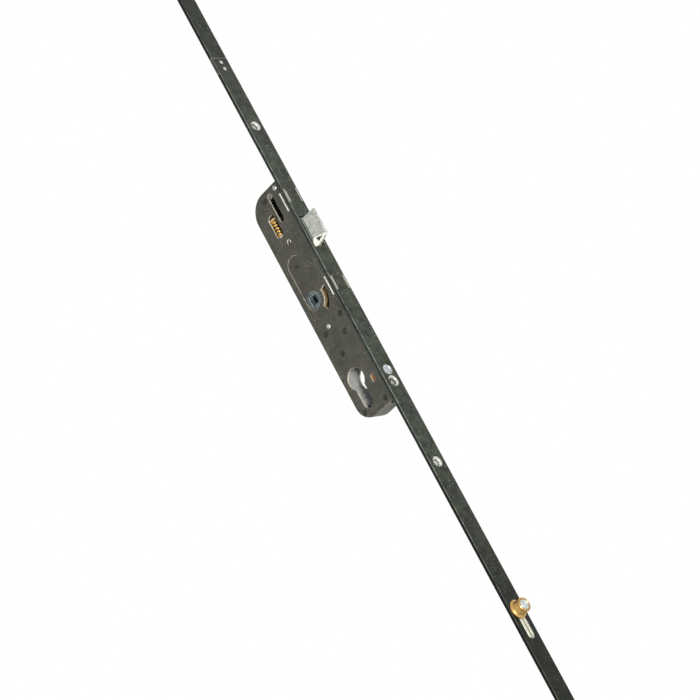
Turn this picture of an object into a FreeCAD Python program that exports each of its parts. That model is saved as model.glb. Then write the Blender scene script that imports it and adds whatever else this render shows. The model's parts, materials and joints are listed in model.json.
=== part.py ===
import FreeCAD, Part
import math
import os
import Sketcher

# A multipoint door lock with a narrow faceplate, a mortice gearbox case and a sliding drive rod.
# Frame: X points out of the faceplate, Y runs through the door's thickness, Z runs up the faceplate.
# The origin is the axis of the handle's square hole, midway through the case.

doc = FreeCAD.newDocument("cremone")
sheet = doc.addObject("Spreadsheet::Sheet", "Sizes")
V = FreeCAD.Vector


class Size:
    """A length together with the sheet formula that it comes from."""

    def __init__(self, number, formula):
        self.number = float(number)
        self.formula = formula

    def joined(self, other, sign, number):
        return Size(number, f"({self.formula} {sign} {as_size(other).formula})")

    def __add__(self, other):
        return self.joined(other, "+", self.number + as_size(other).number)

    def __sub__(self, other):
        return self.joined(other, "-", self.number - as_size(other).number)

    def __mul__(self, other):
        return self.joined(other, "*", self.number * as_size(other).number)

    def __truediv__(self, other):
        return self.joined(other, "/", self.number / as_size(other).number)

    def __radd__(self, other):
        return as_size(other) + self

    def __rsub__(self, other):
        return as_size(other) - self

    def __rmul__(self, other):
        return as_size(other) * self

    def __neg__(self):
        return Size(-self.number, f"(-1 * {self.formula})")


def as_size(value):
    """Return a Size for a plain number, and a Size as it is."""
    if isinstance(value, Size):
        return value
    return Size(value, f"({value:.6f})")


cells = []


def cell(alias, number):
    """Write one driving dimension into the sheet and return it."""
    row = len(cells) + 1
    sheet.set(f"A{row}", alias)
    sheet.set(f"B{row}", str(number))
    sheet.setAlias(f"B{row}", alias)
    cells.append(alias)
    return Size(number, f"Sizes.{alias}")


# Driving dimensions, in millimetres unless the name says otherwise.
backset = cell("backset", 25)
face_wide = cell("face_wide", 16)
face_thick = cell("face_thick", 3)
face_top = cell("face_top", 400)
face_bottom = cell("face_bottom", 400)
seam_height = cell("seam_height", 207)
lap_long = cell("lap_long", 14)
case_thick = cell("case_thick", 14.3)
plate_thick = cell("plate_thick", 1.5)
case_top = cell("case_top", 94)
case_bottom = cell("case_bottom", 101.5)
case_rear = cell("case_rear", 13.4)
corner_top = cell("corner_top", 17)
corner_low = cell("corner_low", 14)
rod_gap = cell("rod_gap", 3.6)
hub_radius = cell("hub_radius", 6.5)
square_wide = cell("square_wide", 7)
cylinder_drop = cell("cylinder_drop", 70)
cylinder_radius = cell("cylinder_radius", 8.5)
cylinder_tall = cell("cylinder_tall", 33)
cylinder_slot = cell("cylinder_slot", 10)
tooth_module = cell("tooth_module", 1.5)
gear_thick = cell("gear_thick", 3)
rod_wide = cell("rod_wide", 8)
rod_thick = cell("rod_thick", 2)
rod_top = cell("rod_top", 352)
rod_bottom = cell("rod_bottom", 306)
rod_travel = cell("rod_travel", 20)
neck_wide = cell("neck_wide", 3.6)
neck_side = cell("neck_side", 1.6)
roller_rise = cell("roller_rise", 8)
roller_radius = cell("roller_radius", 5.6)
roller_flange = cell("roller_flange", 7.3)
roller_low = cell("roller_low", 280.5)
roller_high = cell("roller_high", 330)
pin_radius = cell("pin_radius", 2.5)
axle_foot = cell("axle_foot", 2.0)
slot_wide = cell("slot_wide", 6.4)
latch_middle = cell("latch_middle", 45.4)
latch_tall = cell("latch_tall", 27.2)
latch_top_lean = cell("latch_top_lean", 2.8)
latch_low_lean = cell("latch_low_lean", 4.2)
latch_face_rise = cell("latch_face_rise", 6.4)
latch_rim = cell("latch_rim", 0.6)
latch_far_rise = cell("latch_far_rise", 4.4)
latch_thick = cell("latch_thick", 10.6)
latch_reach = cell("latch_reach", 10.8)
latch_stroke = cell("latch_stroke", 10.6)
latch_rear = cell("latch_rear", 6.5)
tail_long = cell("tail_long", 19.2)
tail_tall = cell("tail_tall", 12.5)
lever_radius = cell("lever_radius", 16)
lever_height = cell("lever_height", 29.6)
lever_thick = cell("lever_thick", 1.8)
pivot_out = cell("pivot_out", 1.0)
pivot_radius = cell("pivot_radius", 1.6)
tip_pin_radius = cell("tip_pin_radius", 1.3)
guide_pin_out = cell("guide_pin_out", 5.8)
guide_pin_radius = cell("guide_pin_radius", 1.2)
bare_radius = cell("bare_radius", 2.1)
plunger_thick = cell("plunger_thick", 1.5)
spring_radius = cell("spring_radius", 2.75)
wire_thick = cell("wire_thick", 1.2)
spring_long = cell("spring_long", 14)
spring_x = cell("spring_x", -2.4)
spring_y = cell("spring_y", -2.0)
stem_radius = cell("stem_radius", 1.3)
window_x = cell("window_x", 1.1)
window_wide = cell("window_wide", 7.6)
lug_x = cell("lug_x", 10.0)
lug_below = cell("lug_below", 6.4)
lug_thick = cell("lug_thick", 2.0)
lug_tall = cell("lug_tall", 4.8)
lug_eye_radius = cell("lug_eye_radius", 3.2)
lug_pin_radius = cell("lug_pin_radius", 2.1)
lug_slot_wide = cell("lug_slot_wide", 5.0)
lock_travel = cell("lock_travel", 3)
screw_high = cell("screw_high", 142.5)
screw_low = cell("screw_low", 157.5)
screw_end = cell("screw_end", 15)
screw_radius = cell("screw_radius", 2.25)
sink_radius = cell("sink_radius", 4.1)
post_radius = cell("post_radius", 1.5)
post_sunk = cell("post_sunk", 1.0)
post_top_x = cell("post_top_x", 17.8)
post_centre_x = cell("post_centre_x", 0.4)
post_centre_drop = cell("post_centre_drop", 23.7)
post_corner_x = cell("post_corner_x", 3.5)
post_rear_x = cell("post_rear_x", -5.4)
post_rear_drop = cell("post_rear_drop", 27.2)
post_front_x = cell("post_front_x", 12.1)
post_front_drop = cell("post_front_drop", 35.6)
post_slide_x = cell("post_slide_x", 0.2)
post_slide_drop = cell("post_slide_drop", 47.7)
post_foot_x = cell("post_foot_x", 16.2)
post_foot_drop = cell("post_foot_drop", 96.4)
post_heel_x = cell("post_heel_x", -7.4)
post_heel_drop = cell("post_heel_drop", 94.6)
guard_x = cell("guard_x", 16.4)
guard_drop = cell("guard_drop", 22.5)
dome_radius = cell("dome_radius", 2.4)
dome_rise = cell("dome_rise", 1.2)
lap_rivet_radius = cell("lap_rivet_radius", 1.5)
key_screw_below = cell("key_screw_below", 18)
key_screw_radius = cell("key_screw_radius", 2.6)
stud_gap = cell("stud_gap", 9.7)
stud_block_rear = cell("stud_block_rear", 12.4)
stud_block_tall = cell("stud_block_tall", 10)
stud_window_wide = cell("stud_window_wide", 3.0)
stud_window_tall = cell("stud_window_tall", 5.4)
stud_radius = cell("stud_radius", 2.4)
stud_head_radius = cell("stud_head_radius", 4.0)
stud_head_deep = cell("stud_head_deep", 1.2)
tab_long = cell("tab_long", 11.5)
tab_high = cell("tab_high", 78.3)
tab_middle = cell("tab_middle", -1.0)
guide_long = cell("guide_long", 16)
guide_high = cell("guide_high", 75.6)
guide_middle = cell("guide_middle", 0.0)
slit_wide = cell("slit_wide", 1.2)
track_radius = cell("track_radius", 13.2)
track_wide = cell("track_wide", 5.2)
running = cell("running", 0.1)
clearance = cell("clearance", 0.3)

# Counts and angles that are no lengths.
TOOTH_COUNT = 17
PRESSURE_ANGLE = 20.0
SECTOR_TEETH = 7
SPRING_TURNS = 5
TOOTH_TOP = 0.85
TOOTH_ROOT = 1.15
TOOTH_BACKLASH = 0.012
SECTOR_MARGIN = 28.0
RACK_TEETH = 8
RACK_START = -1.5
TRACK_START = 13.0
TRACK_SWEEP = 70.0
SPRING_HAND = -1

# Places worked out from the driving dimensions.
face_front = backset
face_back = backset - face_thick
half_face = face_wide / 2
case_out = case_thick / 2
case_in = case_out - plate_thick
rod_front = face_back - clearance
rod_back = rod_front - rod_thick
half_gear = gear_thick / 2
pitch_radius = tooth_module * (TOOTH_COUNT / 2)
tab_places = [tab_high, tab_middle]
guide_places = [guide_high, guide_middle]
key_screw_drop = cylinder_drop + key_screw_below
stud_drop = key_screw_drop - stud_gap
lug_rest = case_top - lug_below
flange_near = as_size(2.0)
flange_far = as_size(5.0)
flange_radius = hub_radius + 4
notch_deep = as_size(3.1)
nose_wide = as_size(4.0)
tip_side = as_size(0.6)
facet_deep = as_size(3.2)
tail_low = lever_height + lever_radius - 4.1
window_low = tail_low + tail_tall + 2.2
window_high = window_low + spring_long + 5.8
guide_pin_up = tail_low + 7.7
slit_back = rod_back - 0.65


def bind(thing, prop, size):
    """Tie one property to its formula."""
    thing.setExpression(prop, as_size(size).formula)


def place(thing, point, turn=None):
    """Put an object at a point whose coordinates are sizes."""
    rotation = turn if turn else FreeCAD.Rotation()
    thing.Placement = FreeCAD.Placement(V(0, 0, 0), rotation)
    for axis, size in zip("xyz", point):
        bind(thing, f"Placement.Base.{axis}", size)


def box(name, low, high):
    """A block between two corners."""
    block = doc.addObject("Part::Box", name)
    for prop, a, b in zip(("Length", "Width", "Height"), low, high):
        bind(block, prop, as_size(b) - a)
    place(block, low)
    return block


TURNS = {
    "X": FreeCAD.Rotation(V(0, 1, 0), 90),
    "Y": FreeCAD.Rotation(V(1, 0, 0), -90),
    "Z": FreeCAD.Rotation(),
}


def rod(name, axis, start, radius, length):
    """A round bar that runs from a point along an axis."""
    bar = doc.addObject("Part::Cylinder", name)
    bind(bar, "Radius", radius)
    bind(bar, "Height", length)
    place(bar, start, TURNS[axis])
    return bar


def cone(name, axis, start, radius_a, radius_b, length):
    """A straight taper that runs from a point along an axis."""
    taper = doc.addObject("Part::Cone", name)
    bind(taper, "Radius1", radius_a)
    bind(taper, "Radius2", radius_b)
    bind(taper, "Height", length)
    place(taper, start, TURNS[axis])
    return taper


def fused(name, pieces):
    """Join pieces into one solid."""
    if len(pieces) == 1:
        pieces[0].Label = name
        return pieces[0]
    joined = doc.addObject("Part::MultiFuse", name)
    joined.Shapes = pieces
    joined.Refine = True
    return joined


def cut(name, base, tools):
    """Take tools away from a base."""
    tool = tools[0] if len(tools) == 1 else fused(f"{name}_tools", tools)
    result = doc.addObject("Part::Cut", name)
    result.Base = base
    result.Tool = tool
    result.Refine = True
    return result


def slot_y(name, x, low, high, width, near, far):
    """An upright slot with round ends, cut through in the Y direction."""
    radius = as_size(width) / 2
    length = as_size(far) - near
    middle = box(f"{name}_middle", (x - radius, near, low + radius), (x + radius, far, high - radius))
    ends = [
        rod(f"{name}_low", "Y", (x, near, low + radius), radius, length),
        rod(f"{name}_high", "Y", (x, near, high - radius), radius, length),
    ]
    return [middle] + ends


def slot_x(name, y, low, high, width, back, front):
    """An upright slot with round ends, cut through in the X direction."""
    radius = as_size(width) / 2
    length = as_size(front) - back
    middle = box(f"{name}_middle", (back, y - radius, low + radius), (front, y + radius, high - radius))
    ends = [
        rod(f"{name}_low", "X", (back, y, low + radius), radius, length),
        rod(f"{name}_high", "X", (back, y, high - radius), radius, length),
    ]
    return [middle] + ends


def new_body(name):
    """A feature body with its label."""
    body = doc.addObject("PartDesign::Body", name)
    body.Label = name
    return body


def new_sketch(body, role, name, offset=0):
    """A sketch on one of the body's own planes, moved along the plane's normal."""
    sketch = body.newObject("Sketcher::SketchObject", name)
    plane = [item for item in body.Origin.OriginFeatures if item.Role == role][0]
    sketch.AttachmentSupport = [(plane, "")]
    sketch.MapMode = "FlatFace"
    bind(sketch, "AttachmentOffset.Base.z", offset)
    return sketch


def hold_point(sketch, edge, end, point):
    """Fix one end of an edge at a point given by two sizes."""
    for kind, size in zip(("DistanceX", "DistanceY"), point):
        index = sketch.addConstraint(Sketcher.Constraint(kind, -1, 1, edge, end, as_size(size).number))
        bind(sketch, f"Constraints[{index}]", size)


def polygon(sketch, points):
    """A closed outline of straight edges through points given by sizes."""
    numbers = [V(as_size(a).number, as_size(b).number, 0) for a, b in points]
    count = len(points)
    first = sketch.GeometryCount
    for index, start in enumerate(numbers):
        sketch.addGeometry(Part.LineSegment(start, numbers[(index + 1) % count]), False)
    for index in range(count):
        after = first + (index + 1) % count
        sketch.addConstraint(Sketcher.Constraint("Coincident", first + index, 2, after, 1))
    for index, point in enumerate(points):
        hold_point(sketch, first + index, 1, point)


def ring(sketch, centre, radius):
    """A circle given by sizes."""
    a, b = (as_size(value).number for value in centre)
    circle = Part.Circle(V(a, b, 0), V(0, 0, 1), as_size(radius).number)
    edge = sketch.addGeometry(circle, False)
    hold_point(sketch, edge, 3, centre)
    index = sketch.addConstraint(Sketcher.Constraint("Radius", edge, as_size(radius).number))
    bind(sketch, f"Constraints[{index}]", radius)


def pad(body, sketch, name, length, reverse=False):
    """Raise a sketch by a length."""
    feature = body.newObject("PartDesign::Pad", name)
    feature.Profile = sketch
    feature.Reversed = reverse
    bind(feature, "Length", length)
    body.Tip = feature
    return feature


def pocket(body, sketch, name, length, reverse=False):
    """Sink a sketch by a length and make sure that it cuts."""
    doc.recompute()
    before = body.Shape.Volume
    feature = body.newObject("PartDesign::Pocket", name)
    feature.Profile = sketch
    feature.Reversed = reverse
    bind(feature, "Length", length)
    body.Tip = feature
    doc.recompute()
    if body.Shape.Volume >= before:
        raise ValueError(f"{name} cuts nothing")
    return feature


def turned(name, role, outline):
    """A body of revolution about the sketch's horizontal axis."""
    body = new_body(name)
    sketch = new_sketch(body, role, f"{name}_profile")
    polygon(sketch, outline)
    feature = body.newObject("PartDesign::Revolution", f"{name}_turned")
    feature.Profile = sketch
    feature.ReferenceAxis = (sketch, ["H_Axis"])
    feature.Angle = 360
    body.Tip = feature
    return body


def edges_at(shape, test):
    """Names of the edges whose middle passes a test."""
    return [f"Edge{i + 1}" for i, edge in enumerate(shape.Edges) if test(edge)]


def dress(body, kind, name, size, test, prop):
    """Round or bevel the edges that pass a test."""
    doc.recompute()
    base = body.Tip
    names = edges_at(base.Shape, test)
    if not names:
        raise ValueError(f"{name} finds no edge")
    feature = body.newObject(kind, name)
    feature.Base = (base, names)
    bind(feature, prop, size)
    body.Tip = feature
    return feature


def fillet(body, name, radius, test):
    return dress(body, "PartDesign::Fillet", name, radius, test, "Radius")


def across_at(x, z, slack=0.3):
    """A test for edges along Y that lie at a place."""
    def test(edge):
        extent = edge.BoundBox
        middle = extent.Center
        return extent.YLength > 0.4 and extent.XLength + extent.ZLength < 0.01 \
            and abs(middle.x - x) < slack and abs(middle.z - z) < slack
    return test


parts = []


def keep(thing, label):
    """Name a finished sub-part and add it to the list that is written."""
    thing.Label = label
    parts.append((label, thing))
    return thing


# Faceplate

def countersunk(name, z):
    """The tools for one countersunk screw hole in the faceplate."""
    depth = sink_radius - screw_radius
    hole = rod(f"{name}_hole", "X", (face_back - 1, 0, z), screw_radius, face_thick + 2)
    sink = cone(f"{name}_sink", "X", (face_front - depth, 0, z), screw_radius, sink_radius, depth)
    return [hole, sink]


def roller_slot(name, z):
    """The tools for the slot that a roller pin slides in, from its rest place downwards."""
    low = z - rod_travel - slot_wide / 2
    return slot_x(name, as_size(0), low, z + slot_wide / 2, slot_wide, face_back - 1, face_front + 1)


def round_end(name, top):
    """The tool that rounds one end of the bar, centred one half width inside it."""
    sign = 1 if top else -1
    level = face_top - half_face if top else half_face - face_bottom
    far = level + half_face * (1.5 * sign)
    low, high = (level, far) if top else (far, level)
    block = box(f"{name}_block", (face_back - 1, -half_face - 1, low), (face_front + 1, half_face + 1, high))
    disc = rod(f"{name}_disc", "X", (face_back - 2, 0, level), half_face, face_thick + 4)
    return cut(name, block, [disc])


lap_middle = face_back + face_thick / 2
bar = box("bar", (face_back, -half_face, -face_bottom), (face_front, half_face, seam_height - 0.1))
latch_low = latch_middle - latch_tall / 2
latch_high = latch_middle + latch_tall / 2
half_latch = latch_thick / 2
mouth = box("latch_mouth", (face_back - 1, -half_latch - clearance, latch_low - clearance),
            (face_front + 1, half_latch + clearance, latch_high + clearance))
tab_slots = []
for index, height in enumerate(tab_places):
    for side in (-1, 1):
        inner = case_in * side
        outer = case_out * side
        low, high = (outer, inner) if side < 0 else (inner, outer)
        tab_slots.append(box(f"tab_slot_{index}_{side + 1}",
                             (face_back - 1, low - running, height - tab_long / 2 - running),
                             (face_front + 1, high + running, height + tab_long / 2 + running)))
stud_seat = rod("stud_seat", "X", (face_front - stud_head_deep, 0, -stud_drop), stud_head_radius + running,
                stud_head_deep + 1)
stud_hole = rod("stud_hole", "X", (face_back - 1, 0, -stud_drop), stud_radius + running, face_thick + 2)
key_hole = rod("key_hole", "X", (face_back - 1, 0, -key_screw_drop), key_screw_radius, face_thick + 2)
key_sink = cone("key_sink", "X", (face_front - 1.8, 0, -key_screw_drop), key_screw_radius,
                key_screw_radius + 1.8, as_size(1.8))
lap_step = box("lap_step", (face_back - 1, -half_face - 1, seam_height - lap_long),
               (lap_middle + 0.05, half_face + 1, seam_height + 1))
lap_heights = (0.28, 0.72)
lap_holes = [rod(f"lap_hole_{i}", "X", (face_back - 1, 0, seam_height - lap_long * share),
                 lap_rivet_radius, face_thick + 2) for i, share in enumerate(lap_heights)]
face_tools = [mouth, stud_seat, stud_hole, key_hole, key_sink, lap_step] + tab_slots + lap_holes
face_tools += countersunk("screw_high", screw_high)
face_tools += countersunk("screw_low", -screw_low)
face_tools += countersunk("screw_foot", screw_end - face_bottom)
face_tools += roller_slot("low_slot", -roller_low)
face_tools.append(round_end("foot_round", False))
keep(cut("faceplate_main", bar, face_tools), "faceplate")

extension = box("extension_bar", (face_back, -half_face, seam_height + 0.1), (face_front, half_face, face_top))
tongue = box("extension_tongue", (face_back, -half_face, seam_height - lap_long + 0.1),
             (lap_middle - 0.05, half_face, seam_height + 1))
extension_tools = roller_slot("high_slot", roller_high) + countersunk("screw_head", face_top - screw_end)
extension_tools += [rod(f"tongue_hole_{i}", "X", (face_back - 1, 0, seam_height - lap_long * share),
                        lap_rivet_radius, face_thick + 2) for i, share in enumerate(lap_heights)]
extension_tools.append(round_end("head_round", True))
keep(cut("extension_main", fused("extension_solid", [extension, tongue]), extension_tools),
     "faceplate_extension")
keep(fused("lap_rivets", [rod(f"lap_rivet_{i}", "X", (face_back, 0, seam_height - lap_long * share),
                              lap_rivet_radius, face_thick) for i, share in enumerate(lap_heights)]),
     "splice_rivets")


# Case

def case_outline():
    """The corners of the case's side view, before they are rounded."""
    return [(-case_rear, -case_bottom), (face_back, -case_bottom), (face_back, case_top), (-case_rear, case_top)]


def wall_tools(name, near, far):
    """The tools for what both side walls have: the handle hole and the cylinder hole."""
    length = as_size(far) - near
    circle_foot = cylinder_radius - cylinder_tall - cylinder_drop
    slot_top = -cylinder_drop
    slot_low = circle_foot + cylinder_slot / 2
    return [
        rod(f"{name}_hub", "Y", (0, near, 0), hub_radius + running, length),
        rod(f"{name}_circle", "Y", (0, near, -cylinder_drop), cylinder_radius, length),
        box(f"{name}_slot", (-cylinder_slot / 2, near, slot_low), (cylinder_slot / 2, far, slot_top)),
        rod(f"{name}_foot", "Y", (0, near, slot_low), cylinder_slot / 2, length),
    ]


def tabs(name, low, high):
    """The tabs that a side wall pushes through the faceplate."""
    return [box(f"{name}_tab_{i}", (face_back - 1, low, height - tab_long / 2),
                (face_front, high, height + tab_long / 2)) for i, height in enumerate(tab_places)]


def tenon_slits(name, low, high):
    """The slits that the rod guides' tenons fill."""
    return [box(f"{name}_slit_{i}", (slit_back - running, low, height - guide_long / 2 - running),
                (slit_back + slit_wide + running, high, height + guide_long / 2 + running))
            for i, height in enumerate(guide_places)]


domed_posts = [(post_top_x, lug_rest + 2.3), (post_centre_x, -post_centre_drop)]
flat_posts = [(post_corner_x, lug_rest - 0.2), (post_rear_x, -post_rear_drop), (post_front_x, -post_front_drop),
              (post_slide_x, -post_slide_drop), (post_foot_x, -post_foot_drop), (post_heel_x, -post_heel_drop)]
short_rivet = (guard_x, -guard_drop)

near_body = new_body("near_wall")
near_outline = new_sketch(near_body, "XZ_Plane", "near_outline", case_in)
polygon(near_outline, case_outline())
pad(near_body, near_outline, "near_pad", plate_thick)
fillet(near_body, "near_top_corner", corner_top, across_at(-case_rear.number, case_top.number))
fillet(near_body, "near_low_corner", corner_low, across_at(-case_rear.number, -case_bottom.number))
press = new_sketch(near_body, "XZ_Plane", "press_outline", case_out)
press_half = hub_radius + 1.3
press_top = lever_height + 1.6
polygon(press, [(-press_half, 0), (press_half, 0), (press_half, press_top), (-press_half, press_top)])
pocket(near_body, press, "press_middle", 0.3, False)
for label, height in (("press_low", as_size(0)), ("press_high", press_top)):
    disc = new_sketch(near_body, "XZ_Plane", f"{label}_disc", case_out)
    ring(disc, (0, height), press_half)
    pocket(near_body, disc, label, 0.3, False)

near_out = -case_out - 1
near_in = -case_in + 1
near_tools = wall_tools("near", near_out, near_in) + tenon_slits("near", near_out, near_in)
near_tools += slot_y("spring_window", window_x, window_low, window_high, window_wide, near_out, near_in)
near_tools += slot_y("lug_slot", lug_x, lug_rest - rod_travel - lug_slot_wide / 2,
                     lug_rest + lug_slot_wide / 2, lug_slot_wide, near_out, near_in)
stud_window_rear = stud_block_rear + 0.9
near_tools.append(box("stud_window", (stud_window_rear, near_out, -stud_drop - stud_window_tall / 2),
                      (stud_window_rear + stud_window_wide, near_in, stud_window_tall / 2 - stud_drop)))
near_tools += [rod(f"near_post_{i}", "Y", (x, near_out, z), post_radius, plate_thick + 2)
               for i, (x, z) in enumerate(domed_posts + flat_posts + [short_rivet])]
near_tools.append(rod("near_bare_hole", "Y", (guide_pin_out, near_out, guide_pin_up), bare_radius,
                      plate_thick + 2))
near_tools.append(rod("near_pivot_hole", "Y", (pivot_out, near_out, lever_height), pivot_radius, plate_thick + 2))
track_turn = FreeCAD.Rotation(V(0, 1, 0), -TRACK_START)
track_outer = rod("track_outer", "Y", (0, near_out, 0), track_radius + track_wide / 2, plate_thick + 2)
place(track_outer, (0, near_out, 0), track_turn * TURNS["Y"])
track_outer.Angle = TRACK_SWEEP
track_inner = rod("track_inner", "Y", (0, near_out - 1, 0), track_radius - track_wide / 2, plate_thick + 4)
near_tools.append(cut("track_window", track_outer, [track_inner]))
keep(cut("near_main", fused("near_solid", [near_body] + tabs("near", -case_out, -case_in)), near_tools),
     "near_side_plate")

tray_body = new_body("tray")
tray_outline = new_sketch(tray_body, "XZ_Plane", "tray_outline", -case_out)
polygon(tray_outline, case_outline())
pad(tray_body, tray_outline, "tray_pad", case_out + case_in)
fillet(tray_body, "tray_top_corner", corner_top, across_at(-case_rear.number, case_top.number))
fillet(tray_body, "tray_low_corner", corner_low, across_at(-case_rear.number, -case_bottom.number))
hollow_body = new_body("hollow")
hollow_outline = new_sketch(hollow_body, "XZ_Plane", "hollow_outline", -case_in)
hollow_rear = plate_thick - case_rear
hollow_low = plate_thick - case_bottom
hollow_top = case_top - plate_thick
polygon(hollow_outline, [(hollow_rear, hollow_low), (face_back + 1, hollow_low),
                         (face_back + 1, hollow_top), (hollow_rear, hollow_top)])
pad(hollow_body, hollow_outline, "hollow_pad", case_in * 2 + 1)
fillet(hollow_body, "hollow_top_corner", corner_top - plate_thick,
       across_at(hollow_rear.number, hollow_top.number))
fillet(hollow_body, "hollow_low_corner", corner_low - plate_thick,
       across_at(hollow_rear.number, hollow_low.number))
far_in = case_in - 1
far_out = case_out + 1
rim_end = rod_back - rod_gap
tray_tools = [hollow_body] + wall_tools("far", far_in, far_out) + tenon_slits("far", far_in, far_out)
tray_tools.append(box("rim_gap_high", (rim_end, -case_in - 1, case_top - plate_thick - 1),
                      (face_back + 1, case_in, case_top + 1)))
tray_tools.append(box("rim_gap_low", (rim_end, -case_in - 1, -case_bottom - 1),
                      (face_back + 1, case_in, plate_thick + 1 - case_bottom)))
tray_tools += [rod(f"far_post_{i}", "Y", (x, far_in, z), post_radius, plate_thick + 2)
               for i, (x, z) in enumerate(domed_posts + flat_posts)]
tray_tools.append(rod("far_pivot_hole", "Y", (pivot_out, far_in, lever_height), pivot_radius, plate_thick + 2))
tray_tools.append(rod("far_guide_hole", "Y", (guide_pin_out, far_in, guide_pin_up), guide_pin_radius,
                      plate_thick + 2))
tray_cut = cut("tray_cut", fused("tray_solid", [tray_body] + tabs("far", case_in, case_out)), tray_tools)
keep(tray_cut, "case_tray")


# Posts, pins and guides of the case

def domed_post(name, x, z):
    """A post through both walls with a domed head on the near wall."""
    shank = rod(f"{name}_shank", "Y", (x, -case_out, z), post_radius, case_thick)
    head = doc.addObject("Part::Sphere", f"{name}_head")
    bind(head, "Radius", dome_radius)
    place(head, (x, dome_radius - dome_rise - case_out, z))
    trim = box(f"{name}_trim", (x - 3, -case_out, z - 3), (x + 3, dome_radius * 2, z + 3))
    return fused(name, [shank, cut(f"{name}_dome", head, [trim])])


def compound(name, pieces):
    """Several equal fasteners that share one node."""
    group = doc.addObject("Part::Compound", name)
    group.Links = pieces
    return group


keep(compound("domed", [domed_post(f"domed_{i}", x, z) for i, (x, z) in enumerate(domed_posts)]),
     "case_posts_domed")
keep(compound("flat", [rod(f"flat_{i}", "Y", (x, post_sunk - case_out, z), post_radius, case_thick - post_sunk)
                       for i, (x, z) in enumerate(flat_posts)]), "case_posts_flat")
keep(rod("short_shank", "Y", (short_rivet[0], post_sunk - case_out, short_rivet[1]), post_radius,
         plate_thick + 0.6), "guard_rivet")
keep(rod("pivot_shank", "Y", (pivot_out, -case_out, lever_height), pivot_radius, case_thick), "lever_pivot_pin")
keep(rod("guide_shank", "Y", (guide_pin_out, -half_gear - running, guide_pin_up), guide_pin_radius,
         case_out + half_gear + running), "latch_guide_pin")


def guide_cheek(name, side, height):
    """A zinc cheek beside the rod, with a tenon in its side wall's slit."""
    inner = (rod_wide / 2 + 0.15) * side
    middle = case_in * side
    outer = case_out * side
    near, far = (middle, inner) if side < 0 else (inner, middle)
    low, high = height - guide_long / 2, height + guide_long / 2
    block = box(f"{name}_block", (rod_back - 0.8, near, low), (face_back, far, high))
    near, far = (outer, middle) if side < 0 else (middle, outer)
    tenon = box(f"{name}_tenon", (slit_back, near, low), (slit_back + slit_wide, far, high))
    return fused(name, [block, tenon])


for level, height in zip(("upper", "middle"), guide_places):
    for side, word in ((-1, "near"), (1, "far")):
        keep(guide_cheek(f"cheek_{level}_{word}", side, height), f"rod_guide_{level}_{word}")

stud_block_front = rod_back - 0.4
stud_head = rod("stud_head", "X", (face_front - stud_head_deep, 0, -stud_drop), stud_head_radius, stud_head_deep)
stud_shank = rod("stud_shank", "X", (stud_block_front, 0, -stud_drop), stud_radius,
                 face_front - stud_block_front - 1.0)
keep(fused("stud", [stud_head, stud_shank]), "case_stud")
stud_block = box("stud_block_solid", (stud_block_rear, -case_in, -stud_drop - stud_block_tall / 2),
                 (stud_block_front, case_in, stud_block_tall / 2 - stud_drop))
keep(stud_block, "stud_block")


# Follower and drive gear

hub_body = new_body("hub")
hub_sketch = new_sketch(hub_body, "XZ_Plane", "hub_outline", -case_out)
ring(hub_sketch, (0, 0), hub_radius)
pad(hub_body, hub_sketch, "hub_pad", case_thick)
flange_sketch = new_sketch(hub_body, "XZ_Plane", "flange_outline", -flange_far)
ring(flange_sketch, (0, 0), flange_radius)
pad(hub_body, flange_sketch, "flange_pad", flange_far - flange_near)
square_sketch = new_sketch(hub_body, "XZ_Plane", "square_outline", case_out)
half_square = square_wide / 2
polygon(square_sketch, [(-half_square, -half_square), (half_square, -half_square),
                        (half_square, half_square), (-half_square, half_square)])
pocket(hub_body, square_sketch, "square_hole", case_thick)
notch_half = nose_wide / 2 + clearance
notch_floor = flange_radius - notch_deep
notches = [
    box("notch_low", (-notch_half, flange_near - 1, -flange_radius - 1),
        (notch_half, flange_far + 1, -notch_floor)),
    box("notch_side", (notch_floor, flange_near - 1, -notch_half),
        (flange_radius + 1, flange_far + 1, notch_half)),
]
keep(cut("hub_main", hub_body, notches), "follower")


def involute(radius, base):
    """The angle that the involute of a base circle has turned through at a radius."""
    ratio = math.sqrt((radius / base) ** 2 - 1)
    return ratio - math.atan(ratio)


def tooth_flank():
    """Half a tooth's flank, from the pitch line out, in modules: radius and angle from its middle."""
    pitch = TOOTH_COUNT / 2
    base = pitch * math.cos(math.radians(PRESSURE_ANGLE))
    half_angle = math.pi / 2 / TOOTH_COUNT - TOOTH_BACKLASH
    at_pitch = involute(pitch, base)
    flank = []
    for radius in (base, pitch - 0.25, pitch + 0.3, pitch + TOOTH_TOP):
        flank.append((radius, half_angle + at_pitch - involute(radius, base)))
    return flank


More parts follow.
